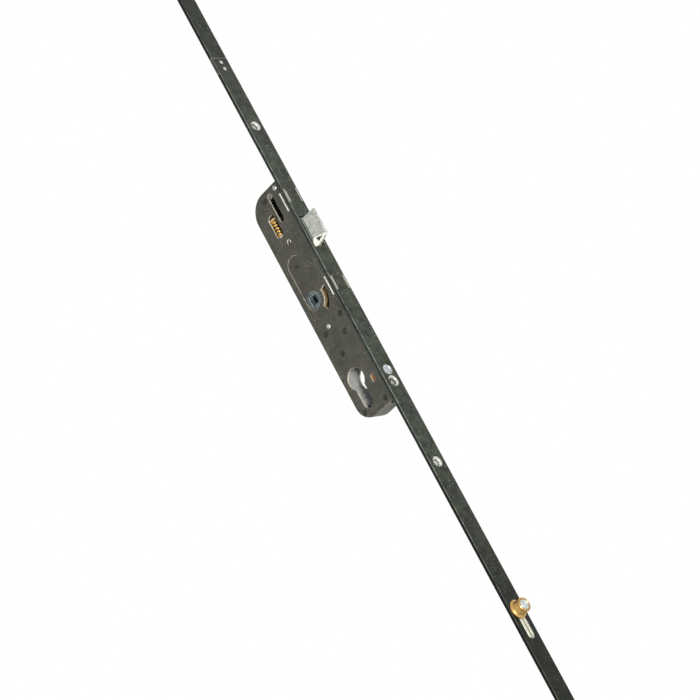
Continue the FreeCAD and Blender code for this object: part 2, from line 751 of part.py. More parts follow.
def gear_sector():
    """A plate on the hub with involute teeth on a part of its rim."""
    body = new_body("sector")
    web = new_sketch(body, "XZ_Plane", "web_outline", -half_gear)
    root = TOOTH_COUNT / 2 - TOOTH_ROOT
    start = math.radians(-SECTOR_MARGIN)
    end = math.radians((SECTOR_TEETH - 2) * 360 / TOOTH_COUNT + SECTOR_MARGIN)
    ring(web, (0, 0), tooth_module * root)
    pad(body, web, "web_pad", gear_thick)
    rest = new_sketch(body, "XZ_Plane", "rest_outline", half_gear)
    open_angle = (start - end) % (2 * math.pi)

    def rim(angle, radius):
        return (tooth_module * (radius * math.cos(angle)), tooth_module * (radius * math.sin(angle)))

    polygon(rest, [(0, 0)] + [rim(end + open_angle * part / 4, root * 1.5) for part in range(5)])
    pocket(body, rest, "rest_cut", gear_thick)
    boss = new_sketch(body, "XZ_Plane", "boss_outline", -half_gear)
    ring(boss, (0, 0), hub_radius + 2)
    pad(body, boss, "boss_pad", gear_thick)
    bore = new_sketch(body, "XZ_Plane", "bore_outline", half_gear)
    ring(bore, (0, 0), hub_radius)
    pocket(body, bore, "bore_hole", gear_thick)
    tooth = new_sketch(body, "XZ_Plane", "tooth_outline", -half_gear)
    first = math.radians(-360 / TOOTH_COUNT)
    flank = tooth_flank()
    upper = [(radius, first + angle) for radius, angle in flank]
    lower = [(radius, first - angle) for radius, angle in reversed(flank)]
    foot = root - 0.4
    outline = lower + [(foot, first - flank[0][1]), (foot, first + flank[0][1])] + upper
    polygon(tooth, [rim(angle, radius) for radius, angle in outline])
    tooth_pad = pad(body, tooth, "tooth_pad", gear_thick)
    doc.recompute()
    pattern = body.newObject("PartDesign::PolarPattern", "tooth_row")
    pattern.Originals = [tooth_pad]
    pattern.Axis = (tooth, ["N_Axis"])
    pattern.Angle = (SECTOR_TEETH - 1) * 360 / TOOTH_COUNT
    pattern.Occurrences = SECTOR_TEETH
    pattern.Reversed = False
    body.Tip = pattern
    return body


keep(gear_sector(), "gear_sector")


# Drive rod

def rod_slot(name, z):
    """The tools for a slot that lets a fixed screw or stud pass through the moving rod."""
    return slot_x(name, as_size(0), z - 3.2, z + rod_travel + 3.2, as_size(5.6), rod_back - 1, rod_front + 1)


strip = box("rod_strip", (rod_back, -rod_wide / 2, -rod_bottom), (rod_front, rod_wide / 2, rod_top))
neck_low = latch_low - 2.4
neck_high = latch_high + rod_travel + 2.4
neck_near = neck_side - neck_wide / 2
neck_far = neck_near + neck_wide
strip_tools = [
    box("neck_near_cut", (rod_back - 1, -rod_wide / 2 - 1, neck_low), (rod_front + 1, neck_near, neck_high)),
    box("neck_far_cut", (rod_back - 1, neck_far, neck_low), (rod_front + 1, rod_wide / 2 + 1, neck_high)),
]
for name, z in (("key", -key_screw_drop), ("stud", -stud_drop), ("low", -screw_low), ("high", screw_high)):
    strip_tools += rod_slot(f"{name}_pass", z)
for name, z in (("foot", -roller_low), ("head", roller_high)):
    strip_tools.append(rod(f"{name}_pin_hole", "X", (rod_back - 1, 0, z), axle_foot, rod_thick + 2))
    strip_tools.append(box(f"{name}_crease", (rod_front - 0.5, -0.3, z - rod_travel - 4),
                           (rod_front + 1, 0.3, z - 3.4)))
keep(cut("strip_main", strip, strip_tools), "drive_rod")


def rack():
    """A toothed plate on the rod's back that meshes with the gear sector."""
    body = new_body("rack")
    sketch = new_sketch(body, "XZ_Plane", "rack_outline", -half_gear)
    pitch = math.pi
    slope = math.tan(math.radians(PRESSURE_ANGLE))
    tip = -TOOTH_TOP
    root = TOOTH_ROOT
    half_pitch_tooth = pitch / 4 - TOOTH_BACKLASH * TOOTH_COUNT / 2
    half_tip = half_pitch_tooth - TOOTH_TOP * slope
    half_root = half_pitch_tooth + TOOTH_ROOT * slope
    corners = []
    for index in range(RACK_TEETH):
        centre = (index + RACK_START) * pitch
        for depth, height in ((root, -half_root), (tip, -half_tip), (tip, half_tip), (root, half_root)):
            corners.append((pitch_radius + tooth_module * depth, tooth_module * (centre + height)))
    low = corners[0][1] - 1.2
    high = corners[-1][1] + 1.2
    outline = [(corners[0][0], low)] + corners + [(corners[-1][0], high), (rod_back, high), (rod_back, low)]
    polygon(sketch, outline)
    pad(body, sketch, "rack_pad", gear_thick)
    return body


keep(rack(), "drive_rack")
lug_near = neck_near + 0.6
lug_far = lug_near + lug_thick
lug_high = lug_rest + 0.2
lug_arm = box("lug_arm", (lug_x, lug_near, lug_high - lug_tall), (rod_back, lug_far, lug_high))
lug_eye = rod("lug_eye", "Y", (lug_x, lug_near, lug_rest), lug_eye_radius, lug_thick)
lug_hole = rod("lug_hole", "Y", (lug_x, lug_near - 1, lug_rest), lug_pin_radius, lug_thick + 2)
keep(cut("lug_main", fused("lug_solid", [lug_arm, lug_eye]), [lug_hole]), "rod_lug")
keep(rod("lug_pin_shank", "Y", (lug_x, -case_out + 0.2, lug_rest), lug_pin_radius, case_out + lug_far - 0.2),
     "lug_pin")


def roller_pin(name):
    """A riveted axle: it is fixed in the rod, fills the slot and ends in a wide head."""
    shoulder = slot_wide / 2 - running * 2
    step = face_front + clearance - running
    head = face_front + roller_rise - 0.9
    end = face_front + roller_rise - 0.1
    return turned(name, "XY_Plane", [
        (rod_back, 0), (rod_back, axle_foot), (rod_front, axle_foot), (rod_front, shoulder), (step, shoulder),
        (step, pin_radius), (head, pin_radius), (head, pin_radius + 1.5), (end - 0.3, pin_radius + 1.5),
        (end, pin_radius + 1.1), (end, 0),
    ])


def roller(name):
    """A brass roller with a flared foot and a recess for its axle's head."""
    bore = pin_radius + running / 2
    foot = face_front + clearance
    top = face_front + roller_rise
    recess = top - 1.0
    return turned(name, "XY_Plane", [
        (foot, bore), (foot, roller_flange), (foot + 0.5, roller_flange), (foot + 2.0, roller_radius),
        (top - 0.5, roller_radius), (top, roller_radius - 0.5), (top, pin_radius + 1.7),
        (recess, pin_radius + 1.7), (recess, bore),
    ])


for word, level in (("lower", -roller_low), ("upper", roller_high)):
    for label, maker in ((f"{word}_roller_pin", roller_pin), (f"{word}_roller", roller)):
        piece = maker(f"{label}_body")
        bind(piece, "Placement.Base.z", level)
        keep(piece, label)


# Latch

latch_body = new_body("latch")
plan = new_sketch(latch_body, "XY_Plane", "latch_plan", latch_low)
latch_back = face_front - latch_rear
latch_tip = face_front + latch_reach
shoulder_x = face_front + 2.2
polygon(plan, [(latch_back, -half_latch), (shoulder_x, -half_latch), (latch_tip - 0.5, tip_side - 0.5),
               (latch_tip, tip_side), (latch_tip - 0.2, tip_side + 1.2), (latch_tip - 4.2, half_latch),
               (latch_back, half_latch)])
pad(latch_body, plan, "latch_pad", latch_tall)
tunnel = box("latch_tunnel", (rod_back - clearance, neck_near - clearance, latch_low - 1),
             (rod_front + latch_stroke + 0.8, neck_far + clearance, latch_high + 1))


def end_wedge(name, corners):
    """The tool that leaves a sloping end on the latch, from its outline in the XZ plane."""
    body = new_body(name)
    sketch = new_sketch(body, "XZ_Plane", f"{name}_outline", -half_latch - 1)
    polygon(sketch, corners)
    pad(body, sketch, f"{name}_pad", latch_thick + 2)
    return body


def end_facet(name, corners):
    """The tool for a sloping facet below the latch, through three points of it."""
    first, second, third = (V(*(as_size(part).number for part in corner)) for corner in corners)
    side = (second - first).normalize()
    normal = side.cross(third - first).normalize()
    if normal.z > 0:
        normal = normal * -1
    reach = 40.0
    other = normal.cross(side)
    base = first - side * reach - other * reach
    face_wire = Part.makePolygon([base, base + side * (2 * reach), base + side * (2 * reach) + other * (2 * reach),
                                  base + other * (2 * reach), base])
    facet = doc.addObject("Part::Feature", name)
    facet.Shape = Part.Face(face_wire).extrude(normal * 12.0)
    return facet


def end_hollow():
    """The tool for the three-cornered hollow that opens in the facet, behind the bevelled face."""
    body = new_body("hollow_end")
    sketch = new_sketch(body, "XY_Plane", "hollow_end_outline", latch_low - 1)
    rear = shoulder_x + latch_rim
    polygon(sketch, [(rear, -half_latch + latch_rim * 1.6), (latch_tip - 3.2, tip_side - latch_rim * 3),
                     (rear, facet_deep - half_latch - latch_rim * 1.4)])
    pad(body, sketch, "hollow_end_pad", latch_face_rise + 2.4)
    return body


top_shoulder = latch_high - latch_top_lean
tip_corner = (latch_tip, tip_side, latch_low + latch_low_lean + 0.3)
ridge = (shoulder_x, facet_deep - half_latch, latch_low)
latch_tools = [
    tunnel,
    end_wedge("wedge_high", [(latch_back - 1, top_shoulder), (shoulder_x, top_shoulder), (latch_tip + 1, latch_high),
                             (latch_tip + 1, latch_high + 4), (latch_back - 1, latch_high + 4)]),
    end_wedge("wedge_low", [(face_front + 0.5, latch_low), (latch_tip + 1, latch_low + latch_low_lean),
                            (latch_tip + 1, latch_low - 4), (face_front + 0.5, latch_low - 4)]),
    end_facet("facet_near", [(shoulder_x, -half_latch, latch_low + latch_face_rise), tip_corner, ridge]),
    end_facet("facet_far", [(shoulder_x, half_latch, latch_low + latch_far_rise), tip_corner, ridge]),
    end_hollow(),
]
keep(cut("latch_main", latch_body, latch_tools), "latch_head")

tail_rear = latch_back - tail_long
tip_angle = math.asin(latch_stroke.number / 2 / lever_radius.number)
tip_x = pivot_out + latch_stroke / 2
tip_z = lever_height + lever_radius * math.cos(tip_angle)
tail = box("tail_strip", (tail_rear, -half_gear, tail_low), (latch_back, half_gear, tail_low + tail_tall))
tail_notch = box("tail_notch", (tip_x - tip_pin_radius - 0.2, -half_gear - 1, tail_low - 1),
                 (tip_x + tip_pin_radius + 0.2, half_gear + 1, lever_height + lever_radius + tip_pin_radius + 0.25))
guide_slot_half = guide_pin_radius + 0.15
tail_guide = box("tail_guide", (guide_pin_out - guide_slot_half, -half_gear - 1, guide_pin_up - guide_slot_half),
                 (guide_pin_out + latch_stroke + guide_slot_half, half_gear + 1, guide_pin_up + guide_slot_half))
keep(cut("tail_main", tail, [tail_notch, tail_guide]), "latch_tail")


# Latch lever, return plunger and spring

lever_near = -half_gear - 0.3 - lever_thick
lever_far = lever_near + lever_thick
plunger_near = lever_near - 0.3 - plunger_thick
plunger_far = plunger_near + plunger_thick
lever_body = new_body("lever")
lever_sketch = new_sketch(lever_body, "XZ_Plane", "lever_outline", -lever_far)
heel_x = pivot_out + 5
heel_z = lever_height + 1.9
polygon(lever_sketch, [(pivot_out - 3.6, lever_height - 0.5), (pivot_out - 2.2, lever_height - 3.0),
                       (pivot_out + 2.4, lever_height - 2.6), (pivot_out + 6.6, lever_height + 0.6),
                       (pivot_out + 6.6, lever_height + 3.0), (pivot_out + 4.4, lever_height + 3.4),
                       (tip_x + 2.1, tip_z - 1.2), (tip_x + 1.4, tip_z + 1.6), (tip_x - 1.4, tip_z + 1.6),
                       (tip_x - 2.2, tip_z - 1.2), (pivot_out - 2.8, lever_height + 2.2)])
pad(lever_body, lever_sketch, "lever_pad", lever_thick)
lever_hole = rod("lever_hole", "Y", (pivot_out, lever_near - 1, lever_height), pivot_radius + 0.06,
                 lever_thick + 2)
keep(cut("lever_main", lever_body, [lever_hole]), "latch_lever")
keep(rod("tip_pin", "Y", (tip_x, lever_far, tip_z), tip_pin_radius, half_gear * 2 + 0.2), "lever_tip_pin")
keep(rod("heel_pin", "Y", (heel_x, plunger_near, heel_z), pivot_radius, lever_near - plunger_near),
     "lever_heel_pin")

foot_low = heel_z + pivot_radius + 0.35
shelf_top = window_low + 2.2
shelf_low = shelf_top - 2.2
strut_rear, strut_front = heel_x - 1.1, heel_x + 1.1
strut = box("plunger_strut", (strut_rear, plunger_near, foot_low), (strut_front, plunger_far, shelf_top))
foot = box("plunger_foot", (heel_x - 4.1, plunger_near, foot_low), (strut_front, plunger_far, foot_low + 2.4))
shelf = box("plunger_shelf", (spring_x - spring_radius - 1, plunger_near, shelf_low),
            (strut_front, spring_y + spring_radius + 0.7, shelf_top))
stem = rod("plunger_stem", "Z", (spring_x, spring_y, shelf_top), stem_radius, spring_long + 3.4)
keep(fused("plunger", [strut, foot, shelf, stem]), "return_plunger")

seat_low = shelf_top + spring_long
seat_high = seat_low + 1.2
seat_half = spring_radius + 1.85
seat_plate = box("seat_plate", (spring_x - seat_half, -case_in, seat_low), (spring_x + seat_half, case_in, seat_high))
seat_hole = rod("seat_hole", "Z", (spring_x, spring_y, seat_low - 1), stem_radius + clearance, as_size(4))
keep(cut("seat_main", seat_plate, [seat_hole]), "spring_seat")


def biarc(p0, t0, p1, t1):
    """Two tangent arcs that join two points with given directions."""
    chord = p1 - p0
    total = t0 + t1
    facing = 1 - t0.dot(t1)
    root = math.sqrt(chord.dot(total) ** 2 + 2 * facing * chord.dot(chord))
    reach = (root - chord.dot(total)) / (2 * facing)
    joint = (p0 + t0 * reach + p1 - t1 * reach) * 0.5
    return [arc_through(p0, p0 + t0 * reach, joint), arc_through(joint, p1 - t1 * reach, p1)]


def arc_through(start, corner, end):
    """The arc that leaves start towards corner and reaches end from it."""
    middle = (start + end) * 0.5
    rise = corner - middle
    half = (end - start).Length / 2
    bend = math.atan2(rise.Length, half)
    top = middle + rise.normalize() * (half * math.tan(bend / 2))
    return Part.Arc(start, top, end).toShape()


def least_gap(path, wire, radius):
    """The least distance between the wire's surface and itself, a half turn or more along it."""
    points = path.discretize(Number=600)
    apart = int(math.pi * radius / (path.Length / len(points)))
    return min(points[i].distanceToPoint(points[j]) for i in range(len(points))
               for j in range(i + apart, len(points))) - wire


def coil_spring(name, axis_x, axis_y, low, length, radius, wire):
    """One unbroken wire: a straight end, a bend, the turns, a bend and a straight end."""
    bend = wire * 1.15
    rise = length - 2 * (wire + bend)
    slope = math.atan2(rise, 2 * math.pi * radius * SPRING_TURNS)
    lift = bend * (1 - math.sin(slope))
    back = bend * math.cos(slope)
    coil_low = low + wire + bend

    def at(turn):
        angle = 2 * math.pi * turn * SPRING_HAND
        return V(axis_x + radius * math.cos(angle), axis_y + radius * math.sin(angle),
                 coil_low + rise * turn / SPRING_TURNS)

    def heading(turn):
        angle = 2 * math.pi * turn * SPRING_HAND
        flat = math.cos(slope) * SPRING_HAND
        return V(-math.sin(angle) * flat, math.cos(angle) * flat, math.sin(slope))

    up = V(0, 0, 1)
    start, start_dir = at(0), heading(0)
    end, end_dir = at(SPRING_TURNS), heading(SPRING_TURNS)
    flat_start = V(start_dir.x, start_dir.y, 0).normalize()
    flat_end = V(end_dir.x, end_dir.y, 0).normalize()
    foot = start - flat_start * back - up * lift
    head = end + flat_end * back + up * lift
    edges = [Part.LineSegment(V(foot.x, foot.y, low), foot).toShape()]
    edges += biarc(foot, up, start, start_dir)
    for step in range(SPRING_TURNS * 4):
        edges += biarc(at(step / 4), heading(step / 4), at((step + 1) / 4), heading((step + 1) / 4))
    edges += biarc(end, end_dir, head, up)
    edges.append(Part.LineSegment(head, V(head.x, head.y, low + length)).toShape())
    path = Part.Wire(edges)
    corners = [V(foot.x + wire / 2 * math.cos(math.pi * (0.25 * k + 0.125)),
                 foot.y + wire / 2 * math.sin(math.pi * (0.25 * k + 0.125)), low) for k in range(8)]
    section = Part.makePolygon(corners + [corners[0]])
    spring = doc.addObject("Part::Feature", name)
    spring.Shape = path.makePipeShell([section], True, False)
    print("spring least gap to itself", round(least_gap(path, wire, radius), 2),
          "mm, volume over section times length",
          round(spring.Shape.Volume / (Part.Face(section).Area * path.Length), 4))
    return spring


spring_feature = coil_spring("spring_wire", spring_x.number, spring_y.number, shelf_top.number,
                             spring_long.number, spring_radius.number, wire_thick.number)
keep(spring_feature, "return_spring")


# Lock slide that the key lifts

nose_top = -(flange_radius + 0.5)
slide_shoulder = nose_top - 4.5
slide_body = new_body("slide")
slide_sketch = new_sketch(slide_body, "XZ_Plane", "slide_outline", -flange_far)
slide_foot = cylinder_radius - cylinder_drop + 3
polygon(slide_sketch, [(-nose_wide / 2, nose_top), (-nose_wide / 2, slide_shoulder), (-3.2, slide_shoulder),
                       (-3.2, slide_foot + 7.5), (-8.0, slide_foot + 5.5), (-8.0, slide_foot), (8.0, slide_foot),
                       (8.0, slide_foot + 5.5), (4.0, slide_foot + 7.5), (4.0, slide_shoulder),
                       (nose_wide / 2, slide_shoulder), (nose_wide / 2, nose_top)])
pad(slide_body, slide_sketch, "slide_pad", flange_far - flange_near)
slide_tools = []
for index, (x, z) in enumerate((domed_posts[1], flat_posts[3])):
    slide_tools.append(box(f"slide_slot_{index}",
                           (x - post_radius - 0.2, flange_near - 1, z - lock_travel - post_radius - 0.2),
                           (x + post_radius + 0.2, flange_far + 1, z + post_radius + 0.2)))
keep(cut("slide_main", slide_body, slide_tools), "lock_slide")

doc.recompute()
faults = [f"{item.Name} {item.State}" for item in doc.Objects if {"Invalid", "Error"} & set(item.State)]
for label, thing in parts:
    shape = thing.Shape
    if shape.isNull() or not shape.isValid() or not shape.Solids:
        faults.append(f"{label} has no valid solid")
if faults:
    raise ValueError("; ".join(faults))

os.makedirs("parts", exist_ok=True)
for label, thing in parts:
    thing.Shape.exportStep(f"parts/{label}.step")
    print(label, len(thing.Shape.Solids), "solid", round(thing.Shape.Volume, 1), "mm3")
print(len(parts), "sub-parts")
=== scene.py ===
"""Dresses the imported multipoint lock: sheet metal, castings, rivets, rollers, spring and a plain stage."""

import functools
import json
import math

import bmesh
import bpy
from mathutils import Matrix, Vector


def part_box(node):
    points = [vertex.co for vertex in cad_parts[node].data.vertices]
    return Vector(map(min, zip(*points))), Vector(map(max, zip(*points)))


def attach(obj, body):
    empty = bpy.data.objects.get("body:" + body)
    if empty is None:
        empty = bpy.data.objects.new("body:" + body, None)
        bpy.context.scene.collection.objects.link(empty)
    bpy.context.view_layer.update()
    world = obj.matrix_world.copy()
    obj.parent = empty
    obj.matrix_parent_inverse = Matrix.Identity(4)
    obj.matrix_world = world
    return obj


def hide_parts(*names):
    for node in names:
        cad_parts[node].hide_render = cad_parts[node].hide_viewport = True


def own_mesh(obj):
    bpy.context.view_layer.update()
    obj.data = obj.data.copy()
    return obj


bl_info = {
    "name": "Multipoint Lock Finish",
    "version": (1, 0, 0),
    "blender": (4, 5, 0),
    "location": "View3D > Sidebar > Lock",
    "description": "Finishes the metal parts of a multipoint door lock and lights them",
    "category": "Object",
}

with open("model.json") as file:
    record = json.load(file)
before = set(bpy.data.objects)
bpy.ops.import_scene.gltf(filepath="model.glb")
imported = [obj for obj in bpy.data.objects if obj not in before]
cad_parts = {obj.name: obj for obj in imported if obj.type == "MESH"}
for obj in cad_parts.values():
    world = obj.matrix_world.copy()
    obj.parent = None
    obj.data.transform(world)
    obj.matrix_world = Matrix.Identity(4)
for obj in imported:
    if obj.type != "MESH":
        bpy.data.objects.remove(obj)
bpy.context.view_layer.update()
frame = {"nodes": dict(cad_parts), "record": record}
MM = 0.001
PICTURE_PIXELS = 700
WELD = 2e-6
FLAT_ANGLE = math.radians(0.6)
ROUNDED_ANGLE = math.radians(32)
ON_AXIS = 1e-7
X_AXIS = (1, 0, 0)


class LockFinishSizes(bpy.types.PropertyGroup):
    """Edge rounds and small details."""

    sheet_edge: bpy.props.FloatProperty(
        name="Sheet edge round", description="Rounding of sheet metal edges",
        default=0.22 * MM, min=0.0, unit="LENGTH", precision=5)
    bar_edge: bpy.props.FloatProperty(
        name="Faceplate edge round", description="Rounding of the faceplate's long edges",
        default=0.3 * MM, min=0.0, unit="LENGTH", precision=5)
    cast_edge: bpy.props.FloatProperty(
        name="Casting edge round", description="Rounding of the latch",
        default=0.2 * MM, min=0.0, unit="LENGTH", precision=5)
    small_edge: bpy.props.FloatProperty(
        name="Small part edge round", description="Rounding of the follower, the rod, guides and levers",
        default=0.12 * MM, min=0.0, unit="LENGTH", precision=5)
    end_radius: bpy.props.FloatProperty(
        name="Rivet end radius", description="Radius of the flat button that a rivet end is upset into",
        default=2.45 * MM, min=0.0, unit="LENGTH", precision=5)
    end_height: bpy.props.FloatProperty(
        name="Rivet end height", description="Height of that button above the sheet",
        default=0.5 * MM, min=0.0, unit="LENGTH", precision=5)
    sink_skin: bpy.props.FloatProperty(
        name="Countersink skin", description="Thickness of the bare metal in a countersunk hole",
        default=0.05 * MM, min=0.0, unit="LENGTH", precision=5)


class LockSpringSizes(bpy.types.PropertyGroup):
    """The return spring of the latch."""

    turns: bpy.props.FloatProperty(name="Turns", description="Turns of the spring", default=6.0, min=2.0)
    radius: bpy.props.FloatProperty(
        name="Coil radius", description="Radius of the wire's centre line",
        default=2.75 * MM, min=0.0, unit="LENGTH", precision=5)
    wire: bpy.props.FloatProperty(
        name="Wire", description="Diameter of the spring wire",
        default=1.2 * MM, min=0.0, unit="LENGTH", precision=5)


def colour(name, description, value):
    """A colour the user can change, as linear red, green and blue."""
    return bpy.props.FloatVectorProperty(
        name=name, description=description, subtype="COLOR", size=3, min=0.0, max=1.0, default=value)


class LockColours(bpy.types.PropertyGroup):
    """The base colours of the finishes."""

    coating: colour("Faceplate coating", "Dark satin coating of the faceplate", (0.044, 0.051, 0.038))
    plate: colour("Case plate", "Passivated sheet of the case", (0.071, 0.070, 0.058))
    inner: colour("Inner sheet", "Bright inner side of the case", (0.335, 0.345, 0.34))
    zinc: colour("Zinc", "Bright zinc-plated steel", (0.56, 0.57, 0.55))
    casting: colour("Latch casting", "Nickel-plated latch", (0.315, 0.33, 0.30))
    hub: colour("Follower", "Blue-grey passivated follower", (0.085, 0.115, 0.122))
    rivet: colour("Bright rivet", "Bare riveted steel", (0.66, 0.66, 0.62))
    # Also the painted shade in the latch's hollow.
    dark: colour("Dark rivet", "Oiled dark steel", (0.046, 0.044, 0.028))
    brass: colour("Roller brass", "Turned brass of the rollers", (0.50, 0.31, 0.10))
    gold: colour("Spring wire", "Yellow passivated wire", (0.62, 0.36, 0.06))
    gilt: colour("Yellow zinc", "Yellow-passivated inner parts", (0.60, 0.42, 0.18))
    copper: colour("Copper", "Copper-plated block", (0.32, 0.15, 0.055))


# Node helpers

def link(tree, source, target):
    """Join two sockets."""
    tree.links.new(source, target)


def feed(tree, socket, value):
    """Join a socket to another, or give it a plain value."""
    if isinstance(value, bpy.types.NodeSocket):
        link(tree, value, socket)
    else:
        socket.default_value = value


def new_node(tree, kind, values=None, **settings):
    """Add a node, with its settings and the plain values of its inputs."""
    node = tree.nodes.new(kind)
    for key, value in settings.items():
        setattr(node, key, value)
    for key, value in (values or {}).items():
        node.inputs[key].default_value = value
    return node


def add_inputs(tree, inputs):
    """Give a group named input sockets."""
    for label, kind, value in inputs:
        socket = tree.interface.new_socket(name=label, in_out="INPUT", socket_type=kind)
        if value is not None:
            socket.default_value = value


def shader_group(name, inputs, outputs):
    """An empty shader group with named sockets."""
    tree = bpy.data.node_groups.new(name, "ShaderNodeTree")
    add_inputs(tree, inputs)
    for label, kind in outputs:
        tree.interface.new_socket(name=label, in_out="OUTPUT", socket_type=kind)
    return tree, tree.nodes.new("NodeGroupInput"), tree.nodes.new("NodeGroupOutput")


def made_once(build):
    """Build a node group under its function's name, and hand out the same one from then on."""
    name = build.__name__

    @functools.wraps(build)
    def group():
        if name not in bpy.data.node_groups:
            build(name)
        return bpy.data.node_groups[name]
    return group


def ramp(tree, source, low, high):
    """Map a range of values to 0..1."""
    node = new_node(tree, "ShaderNodeMapRange", {"From Min": low, "From Max": high}, clamp=True)
    link(tree, source, node.inputs["Value"])
    return node.outputs["Result"]


def mixed(tree, factor, first, second):
    """Mix two colours by a factor."""
    node = new_node(tree, "ShaderNodeMix", data_type="RGBA")
    for index, value in ((0, factor), (6, first), (7, second)):
        feed(tree, node.inputs[index], value)
    return node.outputs[2]


def maths(tree, operation, first, second=0.0):
    """One maths node."""
    node = new_node(tree, "ShaderNodeMath", operation=operation)
    feed(tree, node.inputs[0], first)
    feed(tree, node.inputs[1], second)
    return node.outputs[0]


def product(tree, *factors):
    """Multiply two or more values, from the left."""
    result = factors[0]
    for factor in factors[1:]:
        result = maths(tree, "MULTIPLY", result, factor)
    return result


def seen_rays(tree):
    """1 for camera, glossy and transmission rays, 0 for the rays that carry soft light."""
    path = tree.nodes.new("ShaderNodeLightPath").outputs
    clear = maths(tree, "MAXIMUM", path["Is Glossy Ray"], path["Is Transmission Ray"])
    return maths(tree, "MAXIMUM", path["Is Camera Ray"], clear)


@made_once
def plated_mottle(name):
    """Cloudy passivation with fine grain: colour, roughness and height."""
    tree, source, target = shader_group(
        name,
        [("Vector", "NodeSocketVector", None), ("Dark", "NodeSocketColor", None),
         ("Light", "NodeSocketColor", None),
         ("Cloud Scale", "NodeSocketFloat", 90.0), ("Grain Scale", "NodeSocketFloat", 1400.0),
         ("Rough Low", "NodeSocketFloat", 0.4), ("Rough High", "NodeSocketFloat", 0.6)],
        [("Colour", "NodeSocketColor"), ("Roughness", "NodeSocketFloat"), ("Height", "NodeSocketFloat")])
    cloud = new_node(tree, "ShaderNodeTexNoise", {"Detail": 5.0, "Roughness": 0.6})
    grain = new_node(tree, "ShaderNodeTexNoise", {"Detail": 2.0, "Roughness": 0.5})
    for noise, label in ((cloud, "Cloud Scale"), (grain, "Grain Scale")):
        link(tree, source.outputs["Vector"], noise.inputs["Vector"])
        link(tree, source.outputs[label], noise.inputs["Scale"])
    cloud_share, grain_share = 0.6, 0.4
    blend = maths(tree, "ADD", product(tree, cloud.outputs["Fac"], cloud_share),
                  product(tree, grain.outputs["Fac"], grain_share))
    share = ramp(tree, blend, 0.36, 0.64)
    link(tree, mixed(tree, share, source.outputs["Dark"], source.outputs["Light"]), target.inputs["Colour"])
    rough = new_node(tree, "ShaderNodeMapRange")
    link(tree, cloud.outputs["Fac"], rough.inputs["Value"])
    link(tree, source.outputs["Rough Low"], rough.inputs["To Min"])
    link(tree, source.outputs["Rough High"], rough.inputs["To Max"])
    link(tree, rough.outputs["Result"], target.inputs["Roughness"])
    link(tree, grain.outputs["Fac"], target.inputs["Height"])


@made_once
def handling_marks(name):
    """Thin rub lines and small bright specks: one mask each."""
    tree, source, target = shader_group(
        name,
        [("Vector", "NodeSocketVector", None), ("Stretch", "NodeSocketVector", (60.0, 60.0, 6.0)),
         ("Line Amount", "NodeSocketFloat", 0.5), ("Speck Scale", "NodeSocketFloat", 500.0),
         ("Speck Amount", "NodeSocketFloat", 0.4)],
        [("Lines", "NodeSocketFloat"), ("Specks", "NodeSocketFloat")])
    scaled = new_node(tree, "ShaderNodeVectorMath", operation="MULTIPLY")
    link(tree, source.outputs["Vector"], scaled.inputs[0])
    link(tree, source.outputs["Stretch"], scaled.inputs[1])
    lines = new_node(tree, "ShaderNodeTexNoise", {"Scale": 10.0, "Detail": 3.0, "Roughness": 0.7})
    link(tree, scaled.outputs[0], lines.inputs["Vector"])
    gate = new_node(tree, "ShaderNodeTexNoise", {"Scale": 45.0, "Detail": 1.0})
    link(tree, source.outputs["Vector"], gate.inputs["Vector"])
    thin = ramp(tree, lines.outputs["Fac"], 0.66, 0.74)
    there = ramp(tree, gate.outputs["Fac"], 0.5, 0.62)
    link(tree, product(tree, thin, there, source.outputs["Line Amount"]), target.inputs["Lines"])
    ragged = new_node(tree, "ShaderNodeTexNoise", {"Scale": 1500.0, "Detail": 2.0})
    link(tree, source.outputs["Vector"], ragged.inputs["Vector"])
    outline_shift = (1.2 * MM, 1.2 * MM, 1.2 * MM)
    shifted = new_node(tree, "ShaderNodeVectorMath", {1: outline_shift}, operation="MULTIPLY_ADD")
    link(tree, ragged.outputs["Color"], shifted.inputs[0])
    link(tree, source.outputs["Vector"], shifted.inputs[2])
    specks = new_node(tree, "ShaderNodeTexVoronoi")
    link(tree, shifted.outputs[0], specks.inputs["Vector"])
    link(tree, source.outputs["Speck Scale"], specks.inputs["Scale"])
    dots = ramp(tree, specks.outputs["Distance"], 0.2, 0.13)
    chosen = ramp(tree, gate.outputs["Fac"], 0.42, 0.55)
    link(tree, product(tree, dots, chosen, source.outputs["Speck Amount"]), target.inputs["Specks"])


@made_once
def rubbed_edges(name):
    """The share of bare metal on rounded edges, from the piece's own attribute, broken up by noise: edge wear
    that also stands in for edge highlights, a painted highlight.
    """
    tree, source, target = shader_group(
        name, [("Vector", "NodeSocketVector", None), ("Amount", "NodeSocketFloat", 0.6)],
        [("Mask", "NodeSocketFloat")])
    worn = new_node(tree, "ShaderNodeAttribute", attribute_name="edge_wear_and_highlight")
    noise = new_node(tree, "ShaderNodeTexNoise", {"Scale": 130.0, "Detail": 4.0, "Roughness": 0.6})
    link(tree, source.outputs["Vector"], noise.inputs["Vector"])
    patchy = ramp(tree, noise.outputs["Fac"], 0.3, 0.62)
    share = product(tree, worn.outputs["Fac"], product(tree, patchy, source.outputs["Amount"]))
    link(tree, share, target.inputs["Mask"])


def rgba(value, factor=1.0):
    """A colour with alpha, made lighter or darker."""
    return tuple(min(1.0, part * factor) for part in value) + (1.0,)


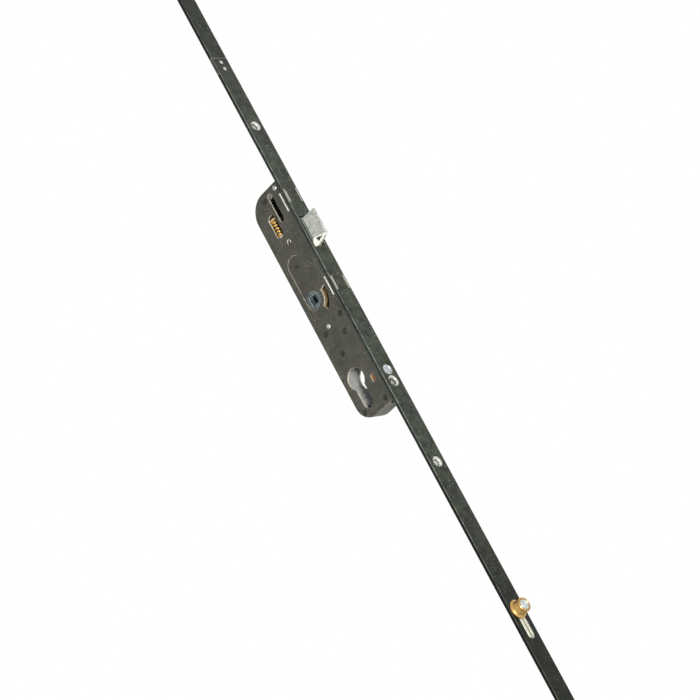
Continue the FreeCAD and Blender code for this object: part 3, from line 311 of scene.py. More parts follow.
def metal(name, base, dark=0.75, light=1.25, rough=(0.35, 0.55), metallic=0.6, cloud=90.0, grain=1400.0,
          lines=0.4, specks=0.3, edge=0.6, bump=0.12, stretch=(60.0, 60.0, 6.0), bare=(0.5, 0.5, 0.46),
          speck_scale=500.0, deepen=None):
    """A metal finish with cloudy colour, rub lines, specks, bare edges that double as a painted edge
    highlight, a fine bump and an optional darkening along an axis.

    base, dark and light: the colour and the factors of its cloudy range. rough: low and high roughness.
    cloud, grain and speck_scale: noise scales. lines, specks and edge: the amounts of bare metal; the bare
    edges are lightened further, as a painted edge highlight.
    deepen: a darkening towards a dark copy of the base, painted shade in holes, in the follower's square
    hole, inside the case and on the faceplate's sides, and a darkening towards the faceplate's ends: an
    object axis, two distances off the origin, and the share by which the tone darkens from the first distance
    to the second.
    A negative first distance keeps the sign of the axis.
    """
    if name in bpy.data.materials:
        return bpy.data.materials[name]
    material = bpy.data.materials.new(name)
    material.use_nodes = True
    tree = material.node_tree
    shader = tree.nodes["Principled BSDF"]
    shader.inputs["Metallic"].default_value = metallic
    shader.inputs["IOR"].default_value = 1.5
    shader.inputs["Specular IOR Level"].default_value = 0.25
    place = new_node(tree, "ShaderNodeTexCoord").outputs["Object"]
    mottle = new_node(tree, "ShaderNodeGroup", {
        "Dark": rgba(base, dark), "Light": rgba(base, light), "Cloud Scale": cloud, "Grain Scale": grain,
        "Rough Low": rough[0], "Rough High": rough[1]}, node_tree=plated_mottle())
    marks = new_node(tree, "ShaderNodeGroup", {
        "Stretch": stretch, "Line Amount": lines, "Speck Amount": specks, "Speck Scale": speck_scale},
                     node_tree=handling_marks())
    edges = new_node(tree, "ShaderNodeGroup", {"Amount": edge}, node_tree=rubbed_edges())
    for group in (mottle, marks, edges):
        link(tree, place, group.inputs["Vector"])
    tone = mixed(tree, marks.outputs["Lines"], mottle.outputs["Colour"], rgba(bare))
    tone = mixed(tree, marks.outputs["Specks"], tone, rgba(bare, 0.9))
    # Bare metal on rounded edges, a fifth lighter: edge wear and a painted edge highlight in one.
    tone = mixed(tree, edges.outputs["Mask"], tone, rgba(bare, 1.2))
    # The darkening along one axis, mostly painted shade.
    if deepen:
        axis, near, far, share = deepen
        parts = tree.nodes.new("ShaderNodeSeparateXYZ")
        link(tree, place, parts.inputs[0])
        reach = parts.outputs[axis] if near < 0 else maths(tree, "ABSOLUTE", parts.outputs[axis])
        tone = mixed(tree, product(tree, ramp(tree, reach, near, far), share), tone, rgba(base, 0.12))
    link(tree, tone, shader.inputs["Base Color"])
    link(tree, mottle.outputs["Roughness"], shader.inputs["Roughness"])
    relief = new_node(tree, "ShaderNodeBump", {"Strength": bump, "Distance": 0.0002})
    link(tree, mottle.outputs["Height"], relief.inputs["Height"])
    link(tree, relief.outputs["Normal"], shader.inputs["Normal"])
    return material


def finishes():
    """Every finish of the lock, by its plain name."""
    shades = bpy.context.scene.lock_colours
    wall_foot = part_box("faceplate")[0].x
    # The faceplate's long sides get a darker copy of the coating, as painted shade.
    flank, pale_zinc = (0.029, 0.035, 0.029), (0.66, 0.655, 0.56)
    # First line: name, base, dark, light, rough, metallic, cloud, grain.
    # Then: lines, specks, edge, bump, stretch, bare, speck_scale, deepen.
    return {
        "coating": metal("faceplate_coating", shades.coating, 0.5, 1.7, (0.26, 0.4), 0.7, 150.0, 900.0,
                         0.8, 0.75, 0.9, 0.08, (90.0, 260.0, 8.0), (0.30, 0.33, 0.28), 330.0,
                         (2, 0.15, 0.29, 0.7)),
        # The long sides as painted shade, darker than the face; they also darken towards the ends, and their
        # bare corners are lightened as a painted highlight.
        "flank": metal("faceplate_side_painted_shade", flank, 0.6, 1.5, (0.25, 0.4), 0.6, 150.0, 900.0,
                       0.3, 0.2, 1.0, 0.08, (90.0, 260.0, 8.0), (0.40, 0.44, 0.39), 260.0,
                       (2, 0.08, 0.2, 0.9)),
        "plate": metal("case_sheet", shades.plate, 0.7, 1.32, (0.6, 0.75), 0.1, 90.0, 1500.0,
                       0.5, 0.7, 0.8, 0.16, (60.0, 60.0, 12.0), (0.36, 0.32, 0.25), 400.0),
        # Painted shade: the inner sheet darkens above the keyhole, where the inside of the case lies in
        # shade.
        "inner": metal("case_inner_sheet", shades.inner, 0.8, 1.15, (0.4, 0.55), 0.1, 60.0, 1200.0,
                       # Its specks and rub lines are orange.
                       0.1, 0.25, 0.1, 0.1, (60.0, 60.0, 12.0), (0.66, 0.38, 0.2), 110.0,
                       (2, -0.059, -0.053, 0.8)),
        # Painted light: the tray's outer rim is a lighter copy of the same sheet, as it faces down towards
        # the lamp.
        "rim": metal("case_rim_lit_sheet", (0.122, 0.127, 0.108), 0.7, 1.3, (0.45, 0.6), 0.3, 90.0, 1500.0,
                     0.6, 0.5, 0.8, 0.16, (60.0, 60.0, 12.0), (0.42, 0.40, 0.34), 400.0),
        "cut": metal("cut_edge", (0.62, 0.60, 0.51), 0.6, 1.3, (0.35, 0.5), 0.4, 200.0, 1800.0,
                     0.3, 0.3, 0.6, 0.2, (60.0, 60.0, 60.0), (0.85, 0.84, 0.76)),
        "rod": metal("rod_zinc", pale_zinc, 0.9, 1.1, (0.38, 0.5), 0.35, 110.0, 1300.0,
                     0.05, 0.05, 0.5, 0.03, (50.0, 300.0, 6.0), (0.85, 0.85, 0.78)),
        "sheared": metal("sheared_edge", (0.42, 0.38, 0.32), 0.45, 1.5, (0.4, 0.6), 0.5, 160.0, 1800.0,
                         0.6, 0.5, 0.5, 0.3, (40.0, 900.0, 8.0), (0.75, 0.7, 0.62)),
        "zinc": metal("zinc_plating", shades.zinc, 0.8, 1.12, (0.26, 0.42), 0.85, 110.0, 1300.0,
                      0.3, 0.2, 0.5, 0.08, (50.0, 300.0, 6.0), (0.85, 0.85, 0.82)),
        "casting": metal("latch_casting", shades.casting, 0.66, 1.35, (0.34, 0.55), 0.45, 420.0, 1500.0,
                         0.2, 0.5, 0.7, 0.35, (80.0, 80.0, 40.0), (0.80, 0.81, 0.74)),
        # Painted light: a lighter copy of the latch casting for its lower facets, which face the lamp.
        "casting_painted_light": metal("casting_painted_light", (0.56, 0.56, 0.48), 0.7, 1.25, (0.34, 0.5), 0.3, 300.0, 1500.0,
                              0.2, 0.3, 0.7, 0.2, (80.0, 80.0, 40.0), (0.85, 0.85, 0.78)),
        # Painted shade: the follower darkens towards the middle of its thickness, deep in its square hole.
        "hub": metal("follower_passivation", shades.hub, 0.6, 1.45, (0.3, 0.5), 0.5, 240.0, 1500.0,
                     0.3, 0.4, 0.9, 0.12, (70.0, 70.0, 20.0), (0.5, 0.56, 0.56), 500.0,
                     (1, 2.6 * MM, 1.8 * MM, 0.95)),
        "rivet": metal("bright_rivet_steel", shades.rivet, 0.8, 1.2, (0.18, 0.32), 0.9, 200.0, 2000.0,
                       0.2, 0.1, 0.3, 0.05),
        # Dark steel of the posts and pins, also painted shade in the latch's hollow.
        "dark": metal("dark_steel_and_hollow_shade", shades.dark, 0.6, 1.4, (0.26, 0.38), 0.6, 200.0, 2000.0,
                      0.1, 0.1, 0.5, 0.06),
        "upset": metal("upset_rivet_steel", (0.044, 0.043, 0.028), 0.8, 1.2, (0.3, 0.4), 0.75, 200.0, 2000.0,
                       0.1, 0.1, 0.5, 0.02),
        "brass": metal("roller_brass_turned", shades.brass, 0.85, 1.12, (0.28, 0.38), 0.8, 120.0, 1500.0,
                       0.15, 0.05, 0.5, 0.03, (400.0, 30.0, 30.0), (0.80, 0.58, 0.28)),
        "axle": metal("roller_axle_steel", (0.56, 0.585, 0.58), 0.85, 1.12, (0.25, 0.35), 0.8, 200.0, 1500.0,
                      0.1, 0.05, 0.4, 0.03),
        "gold": metal("spring_wire_gold", shades.gold, 0.7, 1.3, (0.3, 0.42), 0.7, 260.0, 2500.0,
                      0.2, 0.1, 0.4, 0.05, (60.0, 60.0, 60.0), (0.9, 0.75, 0.4)),
        # Bare tenon ends, whitened further as a painted highlight.
        "slit": metal("tenon_end_painted_highlight", (0.80, 0.80, 0.76), 0.85, 1.15, (0.4, 0.55), 0.2, 200.0, 1800.0,
                      0.2, 0.2, 0.3, 0.1),
        # Painted shade: the hole walls darken deeper in, towards the back of the faceplate.
        "hole_wall": metal("bare_hole_wall", pale_zinc, 0.9, 1.1, (0.4, 0.5), 0.3, 110.0, 1300.0,
                           0.0, 0.0, 0.1, 0.03, (60.0, 60.0, 60.0), (0.7, 0.7, 0.6), 500.0,
                           (0, wall_foot + 1.0 * MM, wall_foot + 0.55 * MM, 0.9)),
        "dome": metal("domed_rivet_steel", (0.38, 0.38, 0.36), 0.85, 1.12, (0.36, 0.46), 0.75, 300.0, 1800.0,
                      0.1, 0.1, 0.3, 0.04),
        "disc": metal("stud_head_zinc", (0.40, 0.42, 0.45), 0.5, 1.5, (0.42, 0.6), 0.5, 700.0, 1800.0,
                      0.3, 0.3, 0.8, 0.2, (60.0, 60.0, 60.0), (0.80, 0.82, 0.82)),
        "pin": metal("lug_pin_steel", (0.17, 0.17, 0.16), 0.7, 1.3, (0.3, 0.42), 0.8, 300.0, 1800.0,
                     0.3, 0.2, 0.8, 0.08),
        "gilt": metal("yellow_zinc", shades.gilt, 0.4, 1.4, (0.28, 0.45), 0.35, 260.0, 1600.0,
                      0.3, 0.3, 0.5, 0.1, (50.0, 50.0, 50.0), (0.85, 0.72, 0.42)),
        "copper": metal("copper_plating", shades.copper, 0.6, 1.4, (0.26, 0.44), 0.8, 180.0, 1500.0,
                        0.4, 0.2, 0.5, 0.1, (50.0, 50.0, 50.0), (0.8, 0.6, 0.4)),
    }


# Mesh helpers

def finish_piece(mesh, name, body, standing_for=()):
    """Link a finished mesh as a piece that rides on a body."""
    piece = bpy.data.objects.new(name, mesh)
    bpy.context.scene.collection.objects.link(piece)
    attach(piece, body)
    if standing_for:
        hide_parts(*standing_for)
    return piece


def body_of(node):
    """The body that a CAD node belongs to."""
    groups = frame["record"]["behaviour"]["bodies"]
    return [body for body, members in groups.items() if node in members][0]


def welded_copy(node):
    """A CAD node's mesh, with its corners joined."""
    work = bmesh.new()
    work.from_mesh(frame["nodes"][node].data)
    bmesh.ops.remove_doubles(work, verts=work.verts, dist=WELD)
    return work


def smooth_mesh(work, name, sharp_degrees):
    """Turn a working mesh into a smooth one with sharp edges above an angle."""
    for face in work.faces:
        face.smooth = True
    mesh = bpy.data.meshes.new(name)
    work.to_mesh(mesh)
    work.free()
    mesh.set_sharp_from_angle(angle=math.radians(sharp_degrees))
    return mesh


def round_edges(work, size, chosen=None):
    """Round the sharp edges of a mesh and mark the new faces for edge wear with a painted edge highlight."""
    mark = work.faces.layers.float.new("edge_wear_and_highlight")
    sharp = [edge for edge in work.edges
             if len(edge.link_faces) == 2 and edge.calc_face_angle(0.0) > ROUNDED_ANGLE
             and (chosen is None or chosen(edge))]
    if size > 0 and sharp:
        made = bmesh.ops.bevel(work, geom=sharp, offset=size, offset_type="OFFSET", segments=2, profile=0.5,
                               affect="EDGES", clamp_overlap=False, loop_slide=True)
        for face in made["faces"]:
            face[mark] = 1.0


def dress_node(node, materials, size, pick=None, chosen=None):
    """Replace a CAD node with a copy whose edges are rounded.

    pick gives a face's material number, and chosen says whether an edge is rounded.
    """
    work = welded_copy(node)
    bmesh.ops.dissolve_limit(work, angle_limit=FLAT_ANGLE, verts=work.verts, edges=work.edges,
                             use_dissolve_boundaries=False)
    if pick:
        for face in work.faces:
            face.material_index = pick(face)
    round_edges(work, size, chosen)
    mesh = smooth_mesh(work, f"{node}_finished", sharp_degrees=38)
    for material in materials:
        mesh.materials.append(material)
    piece = finish_piece(mesh, f"{node}_finished", body_of(node), [node])
    weighted = piece.modifiers.new("flat_faces", "WEIGHTED_NORMAL")
    weighted.keep_sharp = True


def paint_node(node, material):
    """Give a CAD node its finish."""
    mesh = frame["nodes"][node].data
    mesh.materials.clear()
    mesh.materials.append(material)


def middle(low, high):
    """The centre of a box."""
    return (low + high) / 2


def lump_centres(node):
    """The centre of each separate lump of a CAD node, from the lowest up."""
    work = welded_copy(node)
    left = set(work.verts)
    found = []
    while left:
        queue = [left.pop()]
        lump = list(queue)
        while queue:
            for edge in queue.pop().link_edges:
                for vert in edge.verts:
                    if vert in left:
                        left.remove(vert)
                        queue.append(vert)
                        lump.append(vert)
        low = Vector(min(v.co[i] for v in lump) for i in range(3))
        high = Vector(max(v.co[i] for v in lump) for i in range(3))
        found.append(middle(low, high))
    work.free()
    return sorted(found, key=lambda centre: centre.z)


def lathe(name, profile, centre, count):
    """A closed body of revolution from (x, radius) pairs, about an axis along X through a centre."""
    work = bmesh.new()
    rings = []
    turn = Vector((0, 0, 1)).rotation_difference(Vector(X_AXIS)).to_matrix()
    foot = Vector((0.0, centre.y, centre.z))
    for x, radius in profile:
        angles = [2 * math.pi * k / count for k in range(count if radius > ON_AXIS else 1)]
        rings.append([work.verts.new(turn @ Vector((radius * math.cos(angle), radius * math.sin(angle), x))
                                     + foot) for angle in angles])
    for first, second in zip(rings, rings[1:] + rings[:1]):
        for k in range(count):
            corners = []
            for vert in (first[k % len(first)], first[(k + 1) % count % len(first)],
                         second[(k + 1) % count % len(second)], second[k % len(second)]):
                if vert not in corners:
                    corners.append(vert)
            if len(corners) > 2:
                work.faces.new(corners)
    bmesh.ops.recalc_face_normals(work, faces=work.faces)
    return smooth_mesh(work, name, sharp_degrees=35)


# Geometry Nodes

def geometry_group(name, inputs):
    """An empty geometry group with named inputs."""
    tree = bpy.data.node_groups.new(name, "GeometryNodeTree")
    add_inputs(tree, [("Geometry", "NodeSocketGeometry", None)] + inputs)
    tree.interface.new_socket(name="Geometry", in_out="OUTPUT", socket_type="NodeSocketGeometry")
    return tree, tree.nodes.new("NodeGroupInput"), tree.nodes.new("NodeGroupOutput")


def close_group(tree, source, target, geometry):
    """End a tree in real geometry with its material."""
    real = tree.nodes.new("GeometryNodeRealizeInstances")
    smooth = tree.nodes.new("GeometryNodeSetShadeSmooth")
    paint = tree.nodes.new("GeometryNodeSetMaterial")
    link(tree, geometry, real.inputs[0])
    link(tree, real.outputs[0], smooth.inputs[0])
    link(tree, smooth.outputs[0], paint.inputs[0])
    link(tree, source.outputs["Material"], paint.inputs["Material"])
    link(tree, paint.outputs[0], target.inputs[0])


@made_once
def upset_ends(name):
    """A flattened button on every point, facing along Y, for the upset end of a rivet."""
    tree, source, target = geometry_group(
        name, [("Radius", "NodeSocketFloat", 2.45 * MM), ("Height", "NodeSocketFloat", 0.5 * MM),
               ("Segments", "NodeSocketInt", 36), ("Rings", "NodeSocketInt", 16),
               ("Material", "NodeSocketMaterial", None)])
    ball = new_node(tree, "GeometryNodeMeshUVSphere", {"Radius": 1.0})
    link(tree, source.outputs["Segments"], ball.inputs["Segments"])
    link(tree, source.outputs["Rings"], ball.inputs["Rings"])
    size = tree.nodes.new("ShaderNodeCombineXYZ")
    for axis, socket in (("X", "Radius"), ("Y", "Height"), ("Z", "Radius")):
        link(tree, source.outputs[socket], size.inputs[axis])
    spread = tree.nodes.new("GeometryNodeInstanceOnPoints")
    link(tree, source.outputs["Geometry"], spread.inputs["Points"])
    link(tree, ball.outputs["Mesh"], spread.inputs["Instance"])
    link(tree, size.outputs["Vector"], spread.inputs["Scale"])
    close_group(tree, source, target, spread.outputs["Instances"])


@made_once
def countersink_skins(name):
    """A thin bare cone in every countersunk hole, facing along X."""
    tree, source, target = geometry_group(
        name, [("Hole Radius", "NodeSocketFloat", 2.25 * MM), ("Sink Radius", "NodeSocketFloat", 4.1 * MM),
               ("Depth", "NodeSocketFloat", 1.85 * MM), ("Skin", "NodeSocketFloat", 0.05 * MM),
               ("Segments", "NodeSocketInt", 40), ("Material", "NodeSocketMaterial", None)])
    cone = new_node(tree, "GeometryNodeMeshCone", fill_type="NONE")
    link(tree, source.outputs["Segments"], cone.inputs["Vertices"])
    link(tree, source.outputs["Sink Radius"], cone.inputs["Radius Top"])
    link(tree, source.outputs["Hole Radius"], cone.inputs["Radius Bottom"])
    link(tree, source.outputs["Depth"], cone.inputs["Depth"])
    skin = new_node(tree, "GeometryNodeExtrudeMesh", {"Individual": False}, mode="FACES")
    flip = tree.nodes.new("GeometryNodeFlipFaces")
    link(tree, cone.outputs["Mesh"], flip.inputs[0])
    both = tree.nodes.new("GeometryNodeJoinGeometry")
    back = tree.nodes.new("GeometryNodeFlipFaces")
    link(tree, flip.outputs[0], skin.inputs["Mesh"])
    link(tree, source.outputs["Skin"], skin.inputs["Offset Scale"])
    link(tree, flip.outputs[0], back.inputs[0])
    link(tree, skin.outputs["Mesh"], both.inputs[0])
    link(tree, back.outputs[0], both.inputs[0])
    weld = new_node(tree, "GeometryNodeMergeByDistance", {"Distance": 1e-6})
    link(tree, both.outputs[0], weld.inputs["Geometry"])
    spread = new_node(tree, "GeometryNodeInstanceOnPoints", {"Rotation": (0.0, math.pi / 2, 0.0)})
    link(tree, source.outputs["Geometry"], spread.inputs["Points"])
    link(tree, weld.outputs["Geometry"], spread.inputs["Instance"])
    close_group(tree, source, target, spread.outputs["Instances"])


@made_once
def wound_spring(name):
    """A round wire wound along Z, with closed turns at both ends."""
    tree, source, target = geometry_group(
        name, [("Turns", "NodeSocketFloat", 6.0), ("Radius", "NodeSocketFloat", 2.75 * MM),
               ("Low", "NodeSocketFloat", 0.0), ("High", "NodeSocketFloat", 0.01),
               ("Wire", "NodeSocketFloat", 1.2 * MM),
               ("Centre", "NodeSocketVector", (0.0, 0.0, 0.0)), ("Points", "NodeSocketInt", 240),
               ("Material", "NodeSocketMaterial", None)])
    line = tree.nodes.new("GeometryNodeCurvePrimitiveLine")
    fine = new_node(tree, "GeometryNodeResampleCurve", mode="COUNT")
    link(tree, line.outputs["Curve"], fine.inputs["Curve"])
    link(tree, source.outputs["Points"], fine.inputs["Count"])
    along = tree.nodes.new("GeometryNodeSplineParameter").outputs["Factor"]
    angle = product(tree, along, source.outputs["Turns"], -2 * math.pi)
    across = product(tree, maths(tree, "COSINE", angle), source.outputs["Radius"])
    deep = product(tree, maths(tree, "SINE", angle), source.outputs["Radius"])
    rise = new_node(tree, "ShaderNodeMapRange", {"From Min": 0.1, "From Max": 0.9}, clamp=True)
    link(tree, along, rise.inputs["Value"])
    link(tree, source.outputs["Low"], rise.inputs["To Min"])
    link(tree, source.outputs["High"], rise.inputs["To Max"])
    spot = tree.nodes.new("ShaderNodeCombineXYZ")
    for socket, value in zip(spot.inputs, (across, deep, rise.outputs["Result"])):
        link(tree, value, socket)
    moved = new_node(tree, "ShaderNodeVectorMath", operation="ADD")
    link(tree, spot.outputs[0], moved.inputs[0])
    link(tree, source.outputs["Centre"], moved.inputs[1])
    bend = tree.nodes.new("GeometryNodeSetPosition")
    link(tree, fine.outputs["Curve"], bend.inputs["Geometry"])
    link(tree, moved.outputs[0], bend.inputs["Position"])
    profile = new_node(tree, "GeometryNodeCurvePrimitiveCircle", {"Resolution": 14})
    link(tree, maths(tree, "DIVIDE", source.outputs["Wire"], 2.0), profile.inputs["Radius"])
    tube = new_node(tree, "GeometryNodeCurveToMesh", {"Fill Caps": True})
    link(tree, bend.outputs["Geometry"], tube.inputs["Curve"])
    link(tree, profile.outputs["Curve"], tube.inputs["Profile Curve"])
    close_group(tree, source, target, tube.outputs["Mesh"])


def grown(name, tree, points, values):
    """Run a geometry tree on points and return the plain mesh it makes."""
    seed_mesh = bpy.data.meshes.new(f"{name}_points")
    seed_mesh.from_pydata([tuple(point) for point in points], [], [])
    holder = bpy.data.objects.new(f"{name}_holder", seed_mesh)
    bpy.context.scene.collection.objects.link(holder)
    modifier = holder.modifiers.new(name, "NODES")
    modifier.node_group = tree
    sockets = {item.name: item.identifier for item in tree.interface.items_tree if item.in_out == "INPUT"}
    for label, value in values.items():
        modifier[sockets[label]] = value
    shown = holder.evaluated_get(bpy.context.evaluated_depsgraph_get())
    mesh = bpy.data.meshes.new_from_object(shown)
    mesh.name = name
    bpy.data.objects.remove(holder)
    bpy.data.meshes.remove(seed_mesh)
    if not mesh.polygons:
        raise RuntimeError(f"{name} came out empty")
    return mesh


# Operators

class LOCK_OT_stage(bpy.types.Operator):
    """Camera at the photograph's angle, pale floor and soft studio light"""

    bl_idname = "lock.stage"
    bl_label = "Stage"

    def execute(self, context):
        scene = context.scene
        turn_out, tilt, roll = (math.radians(degrees) for degrees in (39.6123, -18.7228, -28.2588))
        focal_pixels = 2499.28
        slide_x, slide_y, distance = -22.1317, 37.6095, 1866.439
        back = Vector((math.sin(turn_out) * math.cos(tilt), -math.cos(turn_out) * math.cos(tilt),
                       math.sin(tilt)))
        level = Vector((0, 0, 1)).cross(back).normalized()
        upright = back.cross(level)
        right = level * math.cos(roll) + upright * math.sin(roll)
        up = upright * math.cos(roll) - level * math.sin(roll)
        camera = bpy.data.objects.new("photo_camera", bpy.data.cameras.new("photo_camera"))
        scene.collection.objects.link(camera)
        spot = (back * distance - right * slide_x - up * slide_y) * MM
        camera.matrix_world = Matrix.Translation(spot) @ Matrix((right, up, back)).transposed().to_4x4()
        camera.data.sensor_width = 36.0
        camera.data.lens = focal_pixels / PICTURE_PIXELS * camera.data.sensor_width
        camera.data.clip_start = 0.05
        camera.data.clip_end = 60.0
        scene.camera = camera
        scene.view_settings.view_transform = "Standard"

        self.world(scene)
        self.floor(scene)
        lamps = [
            ("key_low_right", Vector((1.3, -1.0, -0.62)), 2.0, 0.26, 50.0, (1.0, 0.99, 0.97)),
            ("rear_soft", -back + up * 0.5 + right * 0.2, 2.6, 1.8, 16.0, (0.97, 0.99, 1.0)),
            ("top_soft", Vector((-0.5, 0.3, 1.0)), 2.4, 1.6, 12.0, (1.0, 1.0, 1.0)),
        ]
        for name, direction, away, size, power, shade in lamps:
            light = bpy.data.lights.new(name, "AREA")
            light.shape = "SQUARE"
            light.size = size
            light.energy = power
            light.color = shade
            lamp = bpy.data.objects.new(name, light)
            scene.collection.objects.link(lamp)
            aim = direction.normalized()
            lamp.location = aim * away
            lamp.rotation_mode = "QUATERNION"
            lamp.rotation_quaternion = aim.to_track_quat("Z", "Y")
        return {"FINISHED"}

    @staticmethod
    def world(scene):
        """White behind the object and in its reflections, a softer grey around it for the light."""
        sky = bpy.data.worlds.new("studio_air")
        sky.use_nodes = True
        scene.world = sky
        tree = sky.node_tree
        soft = tree.nodes["Background"]
        soft.inputs["Color"].default_value = (0.96, 0.98, 1.0, 1.0)
        around = tree.nodes.new("ShaderNodeTexCoord")
        side = new_node(tree, "ShaderNodeVectorMath", {1: (0.46, 0.82, -0.34)}, operation="DOT_PRODUCT")
        level = new_node(tree, "ShaderNodeMapRange", {"From Min": -1.0, "To Min": 0.1, "To Max": 0.66})
        link(tree, around.outputs["Generated"], side.inputs[0])
        link(tree, side.outputs["Value"], level.inputs["Value"])
        link(tree, level.outputs["Result"], soft.inputs["Strength"])
        white = new_node(tree, "ShaderNodeBackground", {"Color": (1.0, 1.0, 1.0, 1.0), "Strength": 1.0})
        pick = tree.nodes.new("ShaderNodeMixShader")
        link(tree, seen_rays(tree), pick.inputs[0])
        link(tree, soft.outputs[0], pick.inputs[1])
        link(tree, white.outputs[0], pick.inputs[2])
        link(tree, pick.outputs[0], tree.nodes["World Output"].inputs["Surface"])

    @staticmethod
    def floor(scene):
        """A pale floor below the object, seen only from above."""
        half_side, level = 9.0, -1.2
        work = bmesh.new()
        bmesh.ops.create_grid(work, x_segments=8, y_segments=8, size=half_side)
        bmesh.ops.translate(work, verts=work.verts, vec=(0.0, 0.0, level))
        mesh = bpy.data.meshes.new("pale_floor")
        work.to_mesh(mesh)
        work.free()
        material = bpy.data.materials.new("pale_floor")
        material.use_nodes = True
        tree = material.node_tree
        shader = tree.nodes["Principled BSDF"]
        shader.inputs["Base Color"].default_value = (0.8, 0.8, 0.8, 1.0)
        shader.inputs["Roughness"].default_value = 0.9
        glow = new_node(tree, "ShaderNodeEmission", {"Color": (1.0, 1.0, 1.0, 1.0), "Strength": 1.0})
        glow_share = 0.93
        share = product(tree, seen_rays(tree), glow_share)
        pick = tree.nodes.new("ShaderNodeMixShader")
        through_floor = tree.nodes.new("ShaderNodeBsdfTransparent")
        side = tree.nodes.new("ShaderNodeNewGeometry")
        through = tree.nodes.new("ShaderNodeMixShader")
        link(tree, share, pick.inputs[0])
        link(tree, shader.outputs[0], pick.inputs[1])
        link(tree, glow.outputs[0], pick.inputs[2])
        link(tree, side.outputs["Backfacing"], through.inputs[0])
        link(tree, pick.outputs[0], through.inputs[1])
        link(tree, through_floor.outputs[0], through.inputs[2])
        link(tree, through.outputs[0], tree.nodes["Material Output"].inputs["Surface"])
        mesh.materials.append(material)
        floor = bpy.data.objects.new("pale_floor", mesh)
        scene.collection.objects.link(floor)


class LOCK_OT_faceplate(bpy.types.Operator):
    """The coated faceplate with its extension, bare countersinks and splice rivets"""

    bl_idname = "lock.faceplate"
    bl_label = "Faceplate"

    def execute(self, context):
        sizes = context.scene.lock_sizes
        coats = finishes()
        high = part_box("faceplate")[1]
        flank_start, slot_reach, case_reach = high.y - 0.4 * MM, 4.4 * MM, 80.0 * MM

        def plate_face(face):
            """The long sides, darkened as painted shade, are 1, the bare walls of screw holes and slots 2,
            darkened deeper in as painted shade, the rest 0.
            """
            centre = face.calc_center_median()
            if abs(face.normal.x) > 0.2:
                return 0
            if abs(centre.y) > flank_start:
                return 1
            return 2 if abs(centre.y) < slot_reach and abs(centre.z) >= case_reach else 0

        coated = [coats["coating"], coats["flank"], coats["hole_wall"]]
        for node in ("faceplate", "faceplate_extension"):
            dress_node(node, coated, sizes.bar_edge, plate_face)
        paint_node("splice_rivets", coats["zinc"])
        screws = (-385.0, -157.5, 142.5, 385.0)
        for name, depth, heights, radii in (
                ("countersink_skins", 1.85 * MM, screws, {}),
                ("key_screw_skin", 1.8 * MM, (-88.0,), {"Hole Radius": 2.6 * MM, "Sink Radius": 4.4 * MM})):
            centres = [(high.x - depth, 0.0, height * MM) for height in heights]
            skins = grown(name, countersink_skins(), centres,
                          {"Depth": depth, "Skin": sizes.sink_skin, "Material": coats["rivet"], **radii})
            finish_piece(skins, name, "lock_case")
        return {"FINISHED"}


class LOCK_OT_case(bpy.types.Operator):
    """The two side walls, guides, stud and its block"""

    bl_idname = "lock.case"
    bl_label = "Case"

    def execute(self, context):
        sizes = context.scene.lock_sizes
        coats = finishes()
        rear, front = (corner.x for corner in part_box("faceplate"))
        low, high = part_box("near_side_plate")
        outer, sheared, inner, cut, rim = range(5)
        walls = [coats[name] for name in ("plate", "sheared", "inner", "cut", "rim")]
        margin = 1.0 * MM
        wall_reach = 5.9 * MM

        def near_face(face):
            """Sheared tabs in the faceplate, cut walls of the holes, and the plain sheet."""
            centre = face.calc_center_median()
            if face.normal.x > 0.9 and abs(centre.x - front) < 0.1 * MM:
                return sheared
            within = (low.x + margin < centre.x < rear - margin
                      and low.z + margin < centre.z < high.z - margin)
            return cut if abs(face.normal.y) < 0.3 and within else outer

        def tray_face(face):
            """The same on the far wall; the rim between the walls has its own two sides, its outside a
            lighter copy of the sheet as painted light.
            """
            kind = near_face(face)
            if kind == sheared or abs(face.calc_center_median().y) >= wall_reach:
                return kind
            if kind == cut or face.normal.y < -0.9:
                return inner
            return rim if abs(face.normal.y) < 0.3 else outer

        dress_node("near_side_plate", walls, sizes.sheet_edge, near_face)
        dress_node("case_tray", walls, sizes.sheet_edge, tray_face)
        tenon_start = 7.0 * MM
        for place in ("upper_near", "upper_far", "middle_near", "middle_far"):
            # The guides' tenon ends, past the side walls, are bare metal whitened as a painted highlight.
            dress_node(f"rod_guide_{place}", [coats["zinc"], coats["slit"]], sizes.small_edge,
                       lambda face: 1 if abs(face.calc_center_median().y) > tenon_start else 0)
        dress_node("stud_block", [coats["copper"]], sizes.small_edge)
        self.stud(coats["disc"])
        return {"FINISHED"}

    @staticmethod
    def stud(finish):
        """The stud with a rim and a dished face on its head."""
        low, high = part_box("case_stud")
        rim = (high.z - low.z) / 2
        shank = 2.4 * MM
        head = high.x - 1.2 * MM
        dish = [(high.x - 0.12 * MM, rim), (high.x, rim - 0.2 * MM), (high.x, rim - 0.7 * MM),
                (high.x - 0.45 * MM, rim - 1.1 * MM), (high.x - 0.5 * MM, rim * 0.5),
                (high.x - 0.1 * MM, rim * 0.35), (high.x - 0.05 * MM, 0.0)]
        profile = [(low.x, 0.0), (low.x, shank), (head, shank), (head, rim)] + dish
        mesh = lathe("case_stud_turned", profile, middle(low, high), count=48)
        mesh.materials.append(finish)
        finish_piece(mesh, "case_stud_turned", "lock_case", ["case_stud"])


